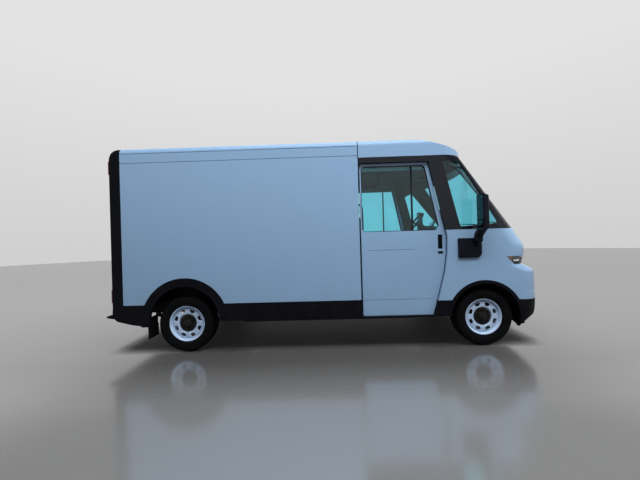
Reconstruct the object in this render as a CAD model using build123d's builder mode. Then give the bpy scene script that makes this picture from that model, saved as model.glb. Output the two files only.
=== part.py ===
from build123d import *
import os
from math import atan2, cos, radians, sin, sqrt, tan

# Electric walk-in cargo van: +X forward, +Y left, +Z up, millimetres.
# The origin is on the ground under the middle of the van's length.

os.makedirs("parts", exist_ok=True)

# ---- overall ----
wheelbase = 3880
front_overhang = 874
rear_overhang = 1130
body_width = 2150
overall_height = 2720

overall_length = wheelbase + front_overhang + rear_overhang
front_x = overall_length / 2
front_axle = front_x - front_overhang
rear_axle = front_axle - wheelbase

# ---- clearances ----
seat_gap = 0.3
panel_gap = 6
running_gap = 0.4

# ---- body walls ----
cladding_proud = 5
side_y = body_width / 2 - cladding_proud
wall = 40
wall_inner_y = side_y - wall
sill_z = 636
shoulder_z = overall_height - 189
roof_crown = 32
roof_edge_z = overall_height - roof_crown
roof_edge_radius = 75
surround_foot_z = sill_z - 56
roof_skin = 35
rail_groove = 4
rail_groove_height = 10
rail_groove_z = overall_height - 228
roof_groove_z = overall_height - 105

# ---- lengthwise stations ----
box_rear = rear_axle - 803
box_front = front_axle - 1580
surround_rear = rear_axle - 945

# ---- cab plan and front profile ----
front_radius = 2950
corner_radius = 300
cab_split_z = 1506
cab_top_z = overall_height - 252
header_z = cab_top_z - 72
screen_setback = 276
roof_setback = 951

# Setback of the front face behind front_x at each height; each band is one smooth stretch.
front_bands = [
    [(231, 206), (380, 30)],
    [(380, 30), (440, 11), (502, 4), (597, 0), (708, 6)],
    [(708, 6), (820, 4), (926, 8)],
    [(926, 8), (950, 13), (966, 26)],
    [(966, 26), (1040, 161)],
    [(1040, 161), (1146, 135)],
    [(1146, 135), (1220, 128), (1290, 136), (1330, 156)],
    [(1330, 156), (cab_split_z, screen_setback)],
]
windscreen_rake = atan2(roof_setback - screen_setback, cab_top_z - cab_split_z)

# ---- wheels ----
tyre_radius = 368
tyre_width = 235
bead_radius = 232
barrel_radius = 216
barrel_skin = 8
rim_half_width = 95
wheel_y = 912.5
disc_skin = 8
disc_face = 66
hub_face = 48
hub_radius = 112
hand_holes = 8
hand_hole_circle = 163
hand_hole_radius = 27
spindle_radius = 40
spindle_end = 25
hub_boss_radius = 70
hub_boss_end = -30
rotor_radius = 150
rotor_width = 20

# ---- wheel openings ----
rear_arch_z = 405
rear_arch_outer = 571
rear_arch_open = 461
front_arch_outer = 483
front_arch_open = 440
liner_skin = 8
liner_gap = 12

# ---- cab doors ----
door_skin = 42
door_outer_y = wall_inner_y - 5
door_inner_y = door_outer_y - door_skin
door_rear = box_front + 25
door_bottom = 412
door_top = cab_top_z - 78
door_travel = 1000
door_glass = 6
door_glass_depth = 12

# Front edge of the cab door: distance behind the front axle at each height.
door_edge = [(651, door_bottom), (500, 988), (469, 1215), (465, 1430), (488, 1545), (679, door_top)]

# ---- door pockets and rails ----
pocket_skin = 18
pocket_outer_y = door_inner_y - 5
pocket_inner_y = pocket_outer_y - pocket_skin
pocket_rear = door_rear - door_travel - 40
rail_web_y = door_inner_y - 33
rail_web = 14
rail_foot_z = door_top - 55
rail_flange = 8
shoe_length = 120
shoe_inset = 60

# ---- floors and chassis ----
floor_z = 700
floor_skin = 60
step_z = 450
step_skin = 35
tunnel_y = 700
frame_rail_y = 665
frame_rail_width = 70
frame_rail_height = 180
front_rail_y = 330
battery_bottom = 290
battery_top = 560
step_plate_z = 448


def symmetric(piece):
    """The mirror image of a right-hand piece, for the left side."""
    with BuildPart() as twin:
        mirror(piece.part, about=Plane.XZ)
    return twin


def both_sides(piece):
    """A right-hand piece and its mirror image, as two solids."""
    with BuildPart() as pair:
        add(piece.part)
        mirror(piece.part, about=Plane.XZ)
    return pair


def save(piece, label):
    piece.part.label = label
    export_step(piece.part, f"parts/{label}.step")


# ---- side views of the openings, as points in X and Z ----
# A side view is drawn just outside the right-hand wall and reaches right across the van.
side_plane = Plane.XZ.offset(side_y + 10)
across = -2 * (side_y + 10)


def door_outline(grow):
    """Corners of the cab door seen from the side, grown outwards by `grow`."""
    front = [(front_axle - back + grow, z) for back, z in door_edge]
    front[0] = (front[0][0], door_bottom - grow)
    front[-1] = (front[-1][0], door_top + grow)
    return [(door_rear - grow, door_bottom - grow), *front, (door_rear - grow, door_top + grow)]


window_sill_z = 1507
window_top_z = door_top - 33
window_radius = 60


def window_outline(shrink):
    """Corners of the door window seen from the side, drawn in by `shrink`."""
    return [
        (front_axle - 1540 + shrink, window_sill_z + shrink),
        (front_axle - 539 - 1.2 * shrink, window_sill_z + shrink),
        (front_axle - 715 - 1.2 * shrink, window_top_z - shrink),
        (front_axle - 1540 + shrink, window_top_z - shrink),
    ]


def quarter_outline(shrink):
    """Corners of the quarter window between the door and the windscreen pillar."""
    return [
        (front_axle - 292 + shrink, 1545 + shrink),
        (front_axle + 205 - 2 * shrink, 1575 + shrink),
        (front_axle - 262 - shrink, header_z - 8 - shrink),
        (front_axle - 500 + shrink, header_z - 4 - shrink),
    ]


# ---- cab hull: rounded plan sections stacked up the front profile ----
def plan_face(x_front, inset, x_back):
    """Plan of the cab at one height: straight sides, round corners and a gently bowed front."""
    half = side_y - inset
    corner = corner_radius - inset
    bow = front_radius - inset
    bow_x = x_front - inset - bow
    corner_y = half - corner
    corner_x = bow_x + sqrt((bow - corner) ** 2 - corner_y**2)
    turn = atan2(corner_y, corner_x - bow_x)
    join = (corner_x + corner * cos(turn), corner_y + corner * sin(turn))
    middle = (turn + radians(90)) / 2
    knee = (corner_x + corner * cos(middle), corner_y + corner * sin(middle))
    with BuildSketch() as face:
        with BuildLine():
            Line((x_back, -half), (corner_x, -half))
            ThreePointArc((corner_x, -half), (knee[0], -knee[1]), (join[0], -join[1]))
            ThreePointArc((join[0], -join[1]), (x_front - inset, 0), join)
            ThreePointArc(join, knee, (corner_x, half))
            Line((corner_x, half), (x_back, half))
            Line((x_back, half), (x_back, -half))
        make_face()
    return face.sketch


def hull(bands, inset, x_back):
    """Solid cab shape through the bands of (height, setback), drawn in by `inset`."""
    stacked = []
    for band in bands:
        faces = [Pos(0, 0, z) * plan_face(front_x - back, inset, x_back) for z, back in band]
        with BuildPart() as slab:
            loft(sections=faces, ruled=len(band) == 2)
        stacked.append(slab.part)
    with BuildPart() as whole:
        for slab in stacked:
            add(slab)
    return whole.part


lower_outer = hull(front_bands, 0, box_front)
lower_inner = hull(front_bands, wall, box_front - 10)


def raked_bands(low, high):
    """One straight band of the windscreen's slope between two heights."""
    return [[(z, screen_setback + (z - cab_split_z) * tan(windscreen_rake)) for z in (low, high)]]


upper_outer = hull(raked_bands(cab_split_z, cab_top_z), 0, box_front)
upper_inner = hull(raked_bands(cab_split_z - 20, cab_top_z + 20), wall, box_front - 10)

with BuildPart() as lower_shell:
    add(lower_outer)
    add(lower_inner, mode=Mode.SUBTRACT)

with BuildPart() as upper_shell:
    add(upper_outer)
    add(upper_inner, mode=Mode.SUBTRACT)

# ---- cargo sides: one thick wall each, cut for the rear wheel ----
with BuildPart() as cargo_side_right:
    with BuildSketch(Plane.XZ.offset(side_y)):
        with BuildLine():
            Polyline(
                (box_rear, sill_z),
                (box_front, sill_z),
                (box_front, shoulder_z),
                (box_rear, shoulder_z),
                close=True,
            )
        make_face()
        with Locations((rear_axle, rear_arch_z)):
            Circle(rear_arch_outer, mode=Mode.SUBTRACT)
    extrude(amount=-wall)
    with Locations(((box_rear + box_front) / 2, -side_y, rail_groove_z)):
        Box(box_front - box_rear, 2 * rail_groove, rail_groove_height, mode=Mode.SUBTRACT)
cargo_side_left = symmetric(cargo_side_right)
save(cargo_side_right, "cargo_side_right")
save(cargo_side_left, "cargo_side_left")


# ---- roofs: a crowned channel over the box, and its bowed front end over the cab ----
def crowned_face(half, bottom, edge, top, radius):
    """Section across the roof: upright sides, rounded edges and a crown."""
    with BuildSketch() as face:
        with BuildLine():
            Polyline((half, edge), (half, bottom), (-half, bottom), (-half, edge))
            ThreePointArc((-half, edge), (0, top), (half, edge))
        make_face()
        fillet(face.vertices().group_by(Axis.Y)[-1], radius)
    return face.sketch


def roof_outer(bottom):
    return crowned_face(side_y, bottom, roof_edge_z, overall_height, roof_edge_radius)


def roof_inner(bottom):
    return crowned_face(
        wall_inner_y,
        bottom - 50,
        roof_edge_z - roof_skin,
        overall_height - roof_skin,
        roof_edge_radius - roof_skin,
    )


cargo_roof_outer = roof_outer(shoulder_z)
cargo_roof_inner = roof_inner(shoulder_z)
with BuildPart() as cargo_roof:
    with BuildSketch(Plane.YZ.offset(box_rear)):
        add(cargo_roof_outer)
        add(cargo_roof_inner, mode=Mode.SUBTRACT)
    extrude(amount=box_front - box_rear)
    with Locations(
        ((box_rear + box_front) / 2, -side_y, roof_groove_z),
        ((box_rear + box_front) / 2, side_y, roof_groove_z),
    ):
        Box(box_front - box_rear, 2 * rail_groove, rail_groove_height, mode=Mode.SUBTRACT)
save(cargo_roof, "cargo_roof")

roof_front = front_x - roof_setback
roof_void_foot = 60
brow_lip = 4
# Side view of the brow: distance behind the windscreen's top edge, and rise above the cab's walls.
brow_rise = overall_height - cab_top_z + 1
brow_curve = [(0, brow_lip), (105, 34), (269, 84), (388, 122), (502, 158), (700, 208), (870, 240), (1100, brow_rise)]


def cab_roof_solid(section, back, drop, bottom):
    """The roof's crowned section cut to the brow's side view, moved back and down, and to the cab's plan."""
    low = cab_top_z - bottom
    high = overall_height + 1 - drop
    with BuildPart() as solid:
        with BuildSketch(Plane.YZ.offset(box_front - back)):
            add(section)
        extrude(amount=roof_front - box_front + back)
        with BuildSketch(side_plane):
            with BuildLine():
                Spline(
                    *[(roof_front - reach - back, cab_top_z + rise - drop) for reach, rise in brow_curve],
                    tangents=[(-2.4, 1), (-1, 0)],
                )
                Line((roof_front - brow_curve[-1][0] - back, high), (box_front - back, high))
                Polyline(
                    (box_front - back, high),
                    (box_front - back, low),
                    (roof_front - back, low),
                    (roof_front - back, cab_top_z + brow_lip - drop),
                )
            make_face()
        extrude(amount=across, mode=Mode.INTERSECT)
        with BuildSketch(Plane.XY.offset(low)):
            add(plan_face(roof_front, back, box_front - back))
        extrude(amount=overall_height, mode=Mode.INTERSECT)
    return solid.part


cab_roof_outer = cab_roof_solid(roof_outer(cab_top_z), 0, 0, 0)
cab_roof_void = cab_roof_solid(roof_inner(cab_top_z), 1.2 * roof_skin, roof_skin, roof_void_foot)
with BuildPart() as cab_roof:
    add(cab_roof_outer)
    add(cab_roof_void, mode=Mode.SUBTRACT)
save(cab_roof, "cab_roof")

# ---- lower cab shell: nose panel, fenders and bumper, parted along one line ----
nose_split_x = front_axle + 480
cladding_top_z = 605
bumper_line = [
    (front_axle + 300, cladding_top_z),
    (nose_split_x + 20, cladding_top_z - 10),
    (front_axle + 720, cladding_top_z - 14),
    (front_axle + 785, 668),
    (front_x + 50, 668),
]
lamp_bottom = 1040
lamp_top = 1146
lamp_rear_bottom = front_axle + 385
lamp_rear_top = front_axle + 277


def lamp_outline(shrink):
    """Side view of the lamp band that wraps the nose."""
    return [
        (lamp_rear_bottom + 1.5 * shrink, lamp_bottom + shrink),
        (front_x + 50, lamp_bottom + shrink),
        (front_x + 50, lamp_top - shrink),
        (lamp_rear_top + 1.5 * shrink, lamp_top - shrink),
    ]


with BuildPart() as nose_panel:
    add(lower_shell.part)
    with BuildSketch(side_plane):
        with BuildLine():
            Polyline(
                (nose_split_x, cladding_top_z - 9),
                *bumper_line[1:],
                (front_x + 50, cab_split_z),
                (nose_split_x, cab_split_z),
                close=True,
            )
        make_face()
        with BuildLine():
            Polyline(*lamp_outline(0), close=True)
        make_face(mode=Mode.SUBTRACT)
    extrude(amount=across, mode=Mode.INTERSECT)
save(nose_panel, "nose_panel")

with BuildPart() as fender_right:
    add(lower_shell.part)
    with BuildSketch(side_plane):
        with BuildLine():
            Polyline(
                (front_axle - 600, cladding_top_z),
                (front_axle + 300, cladding_top_z),
                (nose_split_x, cladding_top_z - 9),
                (nose_split_x, cab_split_z),
                (front_axle - 600, cab_split_z),
                close=True,
            )
        make_face()
        with BuildLine():
            Polyline(*door_outline(panel_gap), close=True)
        make_face(mode=Mode.SUBTRACT)
        with BuildLine():
            Polyline(*lamp_outline(0), close=True)
        make_face(mode=Mode.SUBTRACT)
        with Locations((front_axle, tyre_radius)):
            Circle(front_arch_outer, mode=Mode.SUBTRACT)
    extrude(amount=-side_y, mode=Mode.INTERSECT)
save(fender_right, "fender_right")

# the left fender also has the charge port's opening
port_x = front_axle + 170
port_z = 1290
port_half = 84
with BuildPart() as fender_left:
    mirror(fender_right.part, about=Plane.XZ)
    with BuildSketch(Plane.XZ.offset(-side_y - 5)):
        with Locations((port_x, port_z)):
            RectangleRounded(2 * port_half, 2 * port_half, 16)
    extrude(amount=wall + 10, mode=Mode.SUBTRACT)
save(fender_left, "fender_left")

intake_half = 330
tow_y = -430
tow_z = 500
tow_hole_radius = 34
tow_boss_radius = 22
tow_boss_length = 75
tow_bore_radius = 10
tow_bore_length = 60
with BuildPart() as front_bumper:
    add(lower_shell.part)
    with BuildSketch(side_plane):
        with BuildLine():
            Polyline(
                (front_axle + 200, 200),
                (front_x + 50, 200),
                *bumper_line[::-1],
                (front_axle + 200, cladding_top_z),
                close=True,
            )
        make_face()
        with Locations((front_axle, tyre_radius)):
            Circle(front_arch_outer, mode=Mode.SUBTRACT)
    extrude(amount=across, mode=Mode.INTERSECT)
    # lower air intake
    with BuildSketch(Plane.YZ.offset(front_axle + 600)):
        with Locations((0, 400)):
            RectangleRounded(2 * intake_half, 90, 30)
        with Locations((tow_y, tow_z)):
            Circle(tow_hole_radius)
    extrude(amount=400, mode=Mode.SUBTRACT)
save(front_bumper, "front_bumper")

# ---- lamps: they fill the band, drawn in from its edges and its face ----
lamp_outer = hull(front_bands, 6, box_front)
lamp_inner = hull(front_bands, 30, box_front - 10)
with BuildPart() as headlamps:
    add(lamp_outer)
    add(lamp_inner, mode=Mode.SUBTRACT)
    with BuildSketch(side_plane):
        with BuildLine():
            Polyline(*lamp_outline(seat_gap), close=True)
        make_face()
    extrude(amount=across, mode=Mode.INTERSECT)
save(headlamps, "headlamps")

# ---- upper cab surround: header over the doors, quarter frames, pillars and cowl ----
screen_bottom = 1545
screen_top = cab_top_z - 48
screen_half_bottom = 905
screen_half_top = 860


def screen_outline(shrink):
    return [
        (-screen_half_bottom + shrink, screen_bottom + shrink),
        (screen_half_bottom - shrink, screen_bottom + shrink),
        (screen_half_top - shrink, screen_top - shrink),
        (-screen_half_top + shrink, screen_top - shrink),
    ]


def rounded(points, radius, plane):
    """A closed polygon with rounded corners on the given plane."""
    with BuildSketch(plane) as area:
        with BuildLine():
            Polyline(*points, close=True)
        make_face()
        fillet(area.vertices(), radius)
    return area.sketch


screen_plane = Plane.YZ.offset(front_axle - 350)
screen_hole = rounded(screen_outline(0), 60, screen_plane)
quarter_hole = rounded(quarter_outline(0), 30, side_plane)

with BuildPart() as cab_surround:
    add(upper_shell.part)
    with BuildSketch(side_plane):
        with BuildLine():
            Polyline(*door_outline(panel_gap), close=True)
        make_face()
    extrude(amount=across, mode=Mode.SUBTRACT)
    with BuildSketch(side_plane):
        with Locations((box_front - 5, cab_split_z - 20)):
            Rectangle(60, door_top + panel_gap - cab_split_z + 20, align=(Align.MIN, Align.MIN))
    extrude(amount=across, mode=Mode.SUBTRACT)
    extrude(quarter_hole, amount=across, mode=Mode.SUBTRACT)
    extrude(screen_hole, amount=1500, mode=Mode.SUBTRACT)
save(cab_surround, "cab_surround")

glass_outer = hull(raked_bands(cab_split_z, cab_top_z), 5, box_front)
glass_inner = hull(raked_bands(cab_split_z - 20, cab_top_z + 20), 13, box_front - 10)
with BuildPart() as glass_shell:
    add(glass_outer)
    add(glass_inner, mode=Mode.SUBTRACT)
with BuildPart() as windscreen:
    add(glass_shell.part)
    extrude(rounded(screen_outline(seat_gap), 60, screen_plane), amount=1500, mode=Mode.INTERSECT)
with BuildPart() as quarter_windows:
    add(glass_shell.part)
    extrude(rounded(quarter_outline(seat_gap), 30, side_plane), amount=across, mode=Mode.INTERSECT)
with BuildPart() as cab_glass:
    add(windscreen.part)
    add(quarter_windows.part)
save(cab_glass, "cab_glass")

# ---- rear surround: a black hoop round the rear doors, rounded at its top corner ----
surround_corner = 200
hatch_half = 970
hatch_bottom = 640
hatch_top = shoulder_z + 29
hinge_x = surround_rear - 20
hinge_y = hatch_half + 15
hinge_radius = 12
hinge_heights = (hatch_bottom + 260, (hatch_bottom + hatch_top) / 2, hatch_top - 260)
knuckle_height = 44
rear_gap = 5

corner_x = surround_rear + surround_corner
corner_z = overall_height - surround_corner
with BuildPart() as rear_surround:
    with BuildSketch(Plane.YZ.offset(surround_rear)):
        add(roof_outer(surround_foot_z))
        with Locations((0, (hatch_bottom + hatch_top) / 2)):
            Rectangle(2 * hatch_half, hatch_top - hatch_bottom, mode=Mode.SUBTRACT)
    extrude(amount=box_rear - surround_rear)
    # rounded rear top corner
    with BuildSketch(side_plane):
        with Locations((surround_rear, corner_z)):
            Rectangle(surround_corner, surround_corner + 5, align=(Align.MIN, Align.MIN))
        with Locations((corner_x, corner_z)):
            Circle(surround_corner, mode=Mode.SUBTRACT)
    extrude(amount=across, mode=Mode.SUBTRACT)
    # fixed hinge halves
    for z in hinge_heights:
        for side in (-1, 1):
            with Locations((hinge_x, side * hinge_y, z)):
                Cylinder(hinge_radius, knuckle_height)
            with Locations(((hinge_x + surround_rear) / 2, side * (hinge_y + 6), z)):
                Box(surround_rear - hinge_x, 24, knuckle_height)
save(rear_surround, "rear_surround")

# ---- rear doors: two leaves that meet in the middle, hung on their outer edges ----
rear_door_skin = 40
rear_door_meet = 7
strap_skin = 8
strap_length = 190
with BuildPart() as rear_door_right:
    with Locations(
        (
            surround_rear + rear_door_skin / 2,
            -(rear_door_meet + hatch_half - rear_gap) / 2,
            (hatch_bottom + hatch_top) / 2,
        )
    ):
        Box(
            rear_door_skin,
            hatch_half - rear_gap - rear_door_meet,
            hatch_top - hatch_bottom - 2 * rear_gap,
        )
    for z in hinge_heights:
        low = z - knuckle_height - running_gap
        with Locations((hinge_x, -hinge_y, low)):
            Cylinder(hinge_radius, knuckle_height)
        with Locations((surround_rear - 5 - strap_skin, -hinge_y, low)):
            Box(
                strap_skin,
                strap_length,
                knuckle_height,
                align=(Align.MIN, Align.MIN, Align.CENTER),
            )
        with Locations((surround_rear - 6, -hinge_y + 30, low)):
            Box(7, strap_length - 30, knuckle_height, align=(Align.MIN, Align.MIN, Align.CENTER))

# the left leaf also carries the number plate's four screw holes
plate_y = 480
plate_z = 1180
plate_across = 178
plate_down = 121
plate_hole_radius = 3.3
plate_hole_depth = 25
with BuildPart() as rear_door_left:
    mirror(rear_door_right.part, about=Plane.XZ)
    with BuildSketch(Plane.YZ.offset(surround_rear)):
        with Locations((plate_y, plate_z)):
            with GridLocations(plate_across, plate_down, 2, 2):
                Circle(plate_hole_radius)
    extrude(amount=plate_hole_depth, mode=Mode.SUBTRACT)
save(rear_door_right, "rear_door_right")
save(rear_door_left, "rear_door_left")

# ---- tail lamps on the surround's rear face ----
lamp_depth = 14
with BuildPart() as tail_lamps:
    for z in (hatch_bottom + 120, hatch_top - 120):
        for side in (-1, 1):
            with Locations((surround_rear, side * (hatch_half + 75), z)):
                Box(lamp_depth, 46, 170, align=(Align.MAX, Align.CENTER, Align.CENTER))
save(tail_lamps, "tail_lamps")

# ---- lower cladding: rear quarter, rear flare, sill, step strip and front flare ----
clad_y = body_width / 2
sill_bottom = 411
strip_bottom = 402
strip_top = 420
flare_foot_z = 349
quarter_low = [(-945, 505), (-931, 473), (-883, 429), (-700, 384), (-483, flare_foot_z)]
strip_rear = box_front - 40
strip_front = front_axle - front_arch_open - 5
flare_rear = front_axle - 640
front_flare_foot_z = 290
with BuildPart() as cladding_right:
    with BuildSketch(Plane.XZ.offset(clad_y)):
        with BuildLine():
            Polyline(
                (surround_rear, surround_foot_z),
                *[(rear_axle + x, z) for x, z in quarter_low],
                (rear_axle - 430, flare_foot_z),
                (rear_axle - 430, sill_z),
                (box_rear, sill_z),
                (box_rear, surround_foot_z),
                close=True,
            )
        make_face()
        with Locations((rear_axle, rear_arch_z)):
            Circle(rear_arch_outer)
        with BuildLine():
            Polyline(
                (rear_axle + 400, sill_bottom),
                (box_front, sill_bottom),
                (box_front, sill_z),
                (rear_axle + 400, sill_z),
                close=True,
            )
        make_face()
        with Locations((flare_rear, strip_bottom)):
            Rectangle(strip_front - flare_rear, cladding_top_z - strip_bottom, align=(Align.MIN, Align.MIN))
        with Locations((front_axle, tyre_radius)):
            Circle(front_arch_outer)
        # the wheel openings, and nothing below the flares' lower ends
        with Locations((rear_axle, rear_arch_z)):
            Circle(rear_arch_open, mode=Mode.SUBTRACT)
        with Locations((front_axle, tyre_radius)):
            Circle(front_arch_open, mode=Mode.SUBTRACT)
        with Locations((rear_axle, 0)):
            Rectangle(1300, 2 * flare_foot_z, mode=Mode.SUBTRACT)
            Rectangle(1200, 2 * sill_bottom, align=(Align.MIN, Align.CENTER), mode=Mode.SUBTRACT)
        with Locations((front_axle, 0)):
            Rectangle(970, 2 * front_flare_foot_z, mode=Mode.SUBTRACT)
            Rectangle(600, 2 * strip_bottom, align=(Align.MAX, Align.CENTER), mode=Mode.SUBTRACT)
        with BuildLine():
            Polyline(*door_outline(panel_gap), close=True)
        make_face(mode=Mode.SUBTRACT)
        # the strip that hides the door's lower edge
        with Locations((strip_rear, strip_bottom)):
            Rectangle(strip_front - strip_rear, strip_top - strip_bottom, align=(Align.MIN, Align.MIN))
    extrude(amount=-(clad_y - wall_inner_y))
cladding_left = symmetric(cladding_right)
save(cladding_right, "cladding_right")
save(cladding_left, "cladding_left")

# ---- cab doors: sliding panels that run back into pockets behind the cargo sides ----
handle_depth = 22
groove_depth = 3
shoe_centres = (door_rear + shoe_inset, front_axle - 679 - shoe_inset - 60)
with BuildPart() as cab_door_right:
    with BuildSketch(Plane.XZ.offset(door_outer_y)) as door_face:
        with BuildLine():
            Polyline(*door_outline(0), close=True)
        make_face()
        fillet(door_face.vertices().group_by(Axis.Z)[-1], 30)
    extrude(amount=-door_skin)
    extrude(
        rounded(window_outline(0), window_radius, Plane.XZ.offset(side_y)),
        amount=-side_y,
        mode=Mode.SUBTRACT,
    )
    # handle pocket and the pressed lines across the lower panel
    with BuildSketch(Plane.XZ.offset(door_outer_y)):
        with Locations((front_axle - 538, 1358)):
            RectangleRounded(58, 186, 14)
    extrude(amount=-handle_depth, mode=Mode.SUBTRACT)
    with BuildSketch(Plane.XZ.offset(door_outer_y)):
        with Locations((front_axle - 1160, 1265)):
            Rectangle(595, 9)
        with Locations((front_axle - 1100, 621)):
            Rectangle(880, 9)
    extrude(amount=-groove_depth, mode=Mode.SUBTRACT)
    # slide shoes, hooked over the rail inside the door's top edge
    for x in shoe_centres:
        with Locations((x, -door_inner_y, door_top)):
            Box(
                shoe_length,
                door_inner_y - (rail_web_y + rail_web + running_gap),
                door_top - rail_foot_z,
                align=(Align.CENTER, Align.MIN, Align.MAX),
            )
cab_door_left = symmetric(cab_door_right)
save(cab_door_right, "cab_door_right")
save(cab_door_left, "cab_door_left")

with BuildPart() as cab_door_glass_right:
    extrude(
        rounded(window_outline(seat_gap), window_radius, Plane.XZ.offset(door_outer_y - door_glass_depth)),
        amount=-door_glass,
    )
cab_door_glass_left = symmetric(cab_door_glass_right)
save(cab_door_glass_right, "cab_door_glass_right")
save(cab_door_glass_left, "cab_door_glass_left")

# ---- door pockets: inner liner, closing strip and the rail the door hangs on ----
rail_front = front_axle - 690
liner_top_z = rail_foot_z - panel_gap
rail_web_foot_z = liner_top_z - 20
with BuildPart() as door_pocket_right:
    with Locations((pocket_rear, -pocket_outer_y, sill_bottom)):
        Box(
            box_front - pocket_rear,
            pocket_skin,
            liner_top_z - sill_bottom,
            align=(Align.MIN, Align.MIN, Align.MIN),
        )
    with Locations((pocket_rear - pocket_skin, -wall_inner_y, sill_bottom)):
        Box(
            pocket_skin,
            wall_inner_y - pocket_inner_y,
            header_z - sill_bottom,
            align=(Align.MIN, Align.MIN, Align.MIN),
        )
    with Locations((pocket_rear - pocket_skin, -rail_web_y - rail_web, rail_web_foot_z)):
        Box(
            rail_front - pocket_rear + pocket_skin,
            rail_web,
            header_z + rail_flange - rail_web_foot_z,
            align=(Align.MIN, Align.MIN, Align.MIN),
        )
    with Locations((pocket_rear - pocket_skin, -wall_inner_y, header_z)):
        Box(
            rail_front - pocket_rear + pocket_skin,
            wall_inner_y - rail_web_y,
            rail_flange,
            align=(Align.MIN, Align.MIN, Align.MIN),
        )
door_pockets = both_sides(door_pocket_right)
save(door_pockets, "door_pockets")

# ---- bulkhead with its open doorway, standing between the two floors ----
bulkhead_skin = 40
doorway_half = 330
doorway_top = cab_top_z - 218
with BuildPart() as bulkhead:
    with Locations((box_front - bulkhead_skin, 0, floor_z - floor_skin)):
        Box(
            bulkhead_skin,
            2 * rail_web_y,
            cab_top_z - floor_z + floor_skin,
            align=(Align.MIN, Align.CENTER, Align.MIN),
        )
    with Locations((box_front - bulkhead_skin / 2, 0, floor_z)):
        Box(
            2 * bulkhead_skin,
            2 * doorway_half,
            doorway_top - floor_z,
            align=(Align.CENTER, Align.CENTER, Align.MIN),
            mode=Mode.SUBTRACT,
        )
save(bulkhead, "bulkhead")

# ---- floors ----
house_y = 735
house_shell = rear_arch_open + liner_gap + liner_skin
house_reach = sqrt(house_shell**2 - (floor_z - floor_skin - rear_arch_z) ** 2) + seat_gap
floor_rear = surround_rear + 60
floor_front = box_front - bulkhead_skin - seat_gap
with BuildPart() as cargo_floor:
    with BuildSketch(Plane.XY.offset(floor_z - floor_skin)):
        with BuildLine():
            Polyline(
                (floor_rear, -hatch_half),
                (box_rear, -hatch_half),
                (box_rear, -wall_inner_y),
                (pocket_rear - pocket_skin, -wall_inner_y),
                (pocket_rear - pocket_skin, -pocket_inner_y),
                (floor_front, -pocket_inner_y),
                (floor_front, pocket_inner_y),
                (pocket_rear - pocket_skin, pocket_inner_y),
                (pocket_rear - pocket_skin, wall_inner_y),
                (box_rear, wall_inner_y),
                (box_rear, hatch_half),
                (floor_rear, hatch_half),
                close=True,
            )
        make_face()
        for side in (-1, 1):
            with Locations((rear_axle, side * (house_y - liner_skin + wall_inner_y) / 2)):
                Rectangle(2 * house_reach, wall_inner_y - house_y + liner_skin, mode=Mode.SUBTRACT)
    extrude(amount=floor_skin)
save(cargo_floor, "cargo_floor")

well_front = front_axle - 690
well_outer_y = door_inner_y - 6
front_house_y = 590
firewall_x = front_axle - 425
dash_bottom = 880
with BuildPart() as cab_floor:
    with BuildSketch(Plane.XY.offset(floor_z - floor_skin)):
        with BuildLine():
            Polyline(
                (box_front, -tunnel_y),
                (well_front, -tunnel_y),
                (well_front, -well_outer_y),
                (well_front + 60, -well_outer_y),
                (well_front + 60, -front_house_y + 10),
                (firewall_x, -front_house_y + 10),
                (firewall_x, front_house_y - 10),
                (well_front + 60, front_house_y - 10),
                (well_front + 60, well_outer_y),
                (well_front, well_outer_y),
                (well_front, tunnel_y),
                (box_front, tunnel_y),
                close=True,
            )
        make_face()
    extrude(amount=floor_skin)
    for side in (-1, 1):
        near = Align.MAX if side < 0 else Align.MIN
        with Locations((box_front, side * (frame_rail_y + frame_rail_width / 2), step_z - step_skin)):
            Box(
                well_front - box_front,
                well_outer_y - frame_rail_y - frame_rail_width / 2,
                step_skin,
                align=(Align.MIN, near, Align.MIN),
            )
            Box(
                well_front - box_front,
                12,
                floor_z - step_z + step_skin,
                align=(Align.MIN, near, Align.MIN),
            )
        with Locations((well_front, side * (frame_rail_y + frame_rail_width / 2), step_z - step_skin)):
            Box(
                12,
                well_outer_y - frame_rail_y - frame_rail_width / 2,
                floor_z - step_z + step_skin,
                align=(Align.MIN, near, Align.MIN),
            )
    with Locations((firewall_x, 0, floor_z - floor_skin)):
        Box(
            20,
            2 * (front_house_y - 10),
            dash_bottom - floor_z + floor_skin,
            align=(Align.MIN, Align.CENTER, Align.MIN),
        )
save(cab_floor, "cab_floor")

# ---- wheelhouses: curved liners over the tyres, closed on the inboard side ----
with BuildPart() as rear_house:
    with BuildSketch(Plane.XZ.offset(wall_inner_y)):
        with Locations((rear_axle, rear_arch_z)):
            Circle(rear_arch_open + liner_gap + liner_skin)
            Circle(rear_arch_open + liner_gap, mode=Mode.SUBTRACT)
        with Locations((rear_axle, 0)):
            Rectangle(1200, 2 * (floor_z - floor_skin), mode=Mode.SUBTRACT)
    extrude(amount=-(wall_inner_y - house_y))
    with BuildSketch(Plane.XZ.offset(house_y)):
        with Locations((rear_axle, rear_arch_z)):
            Circle(rear_arch_open + liner_gap + liner_skin)
        with Locations((rear_axle, 0)):
            Rectangle(1200, 2 * (floor_z - floor_skin), mode=Mode.SUBTRACT)
    extrude(amount=-liner_skin)
with BuildPart() as front_house:
    with BuildSketch(Plane.XZ.offset(wall_inner_y)):
        with Locations((front_axle, tyre_radius)):
            Circle(front_arch_open + liner_gap + liner_skin)
            Circle(front_arch_open + liner_gap, mode=Mode.SUBTRACT)
        with Locations((front_axle, 0)):
            Rectangle(1200, 2 * 480, mode=Mode.SUBTRACT)
    extrude(amount=-(wall_inner_y - front_house_y))
    with BuildSketch(Plane.XZ.offset(front_house_y)):
        with Locations((front_axle, tyre_radius)):
            Circle(front_arch_open + liner_gap + liner_skin)
        with Locations((front_axle, 0)):
            Rectangle(1200, 2 * 640, mode=Mode.SUBTRACT)
    extrude(amount=-liner_skin)
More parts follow.
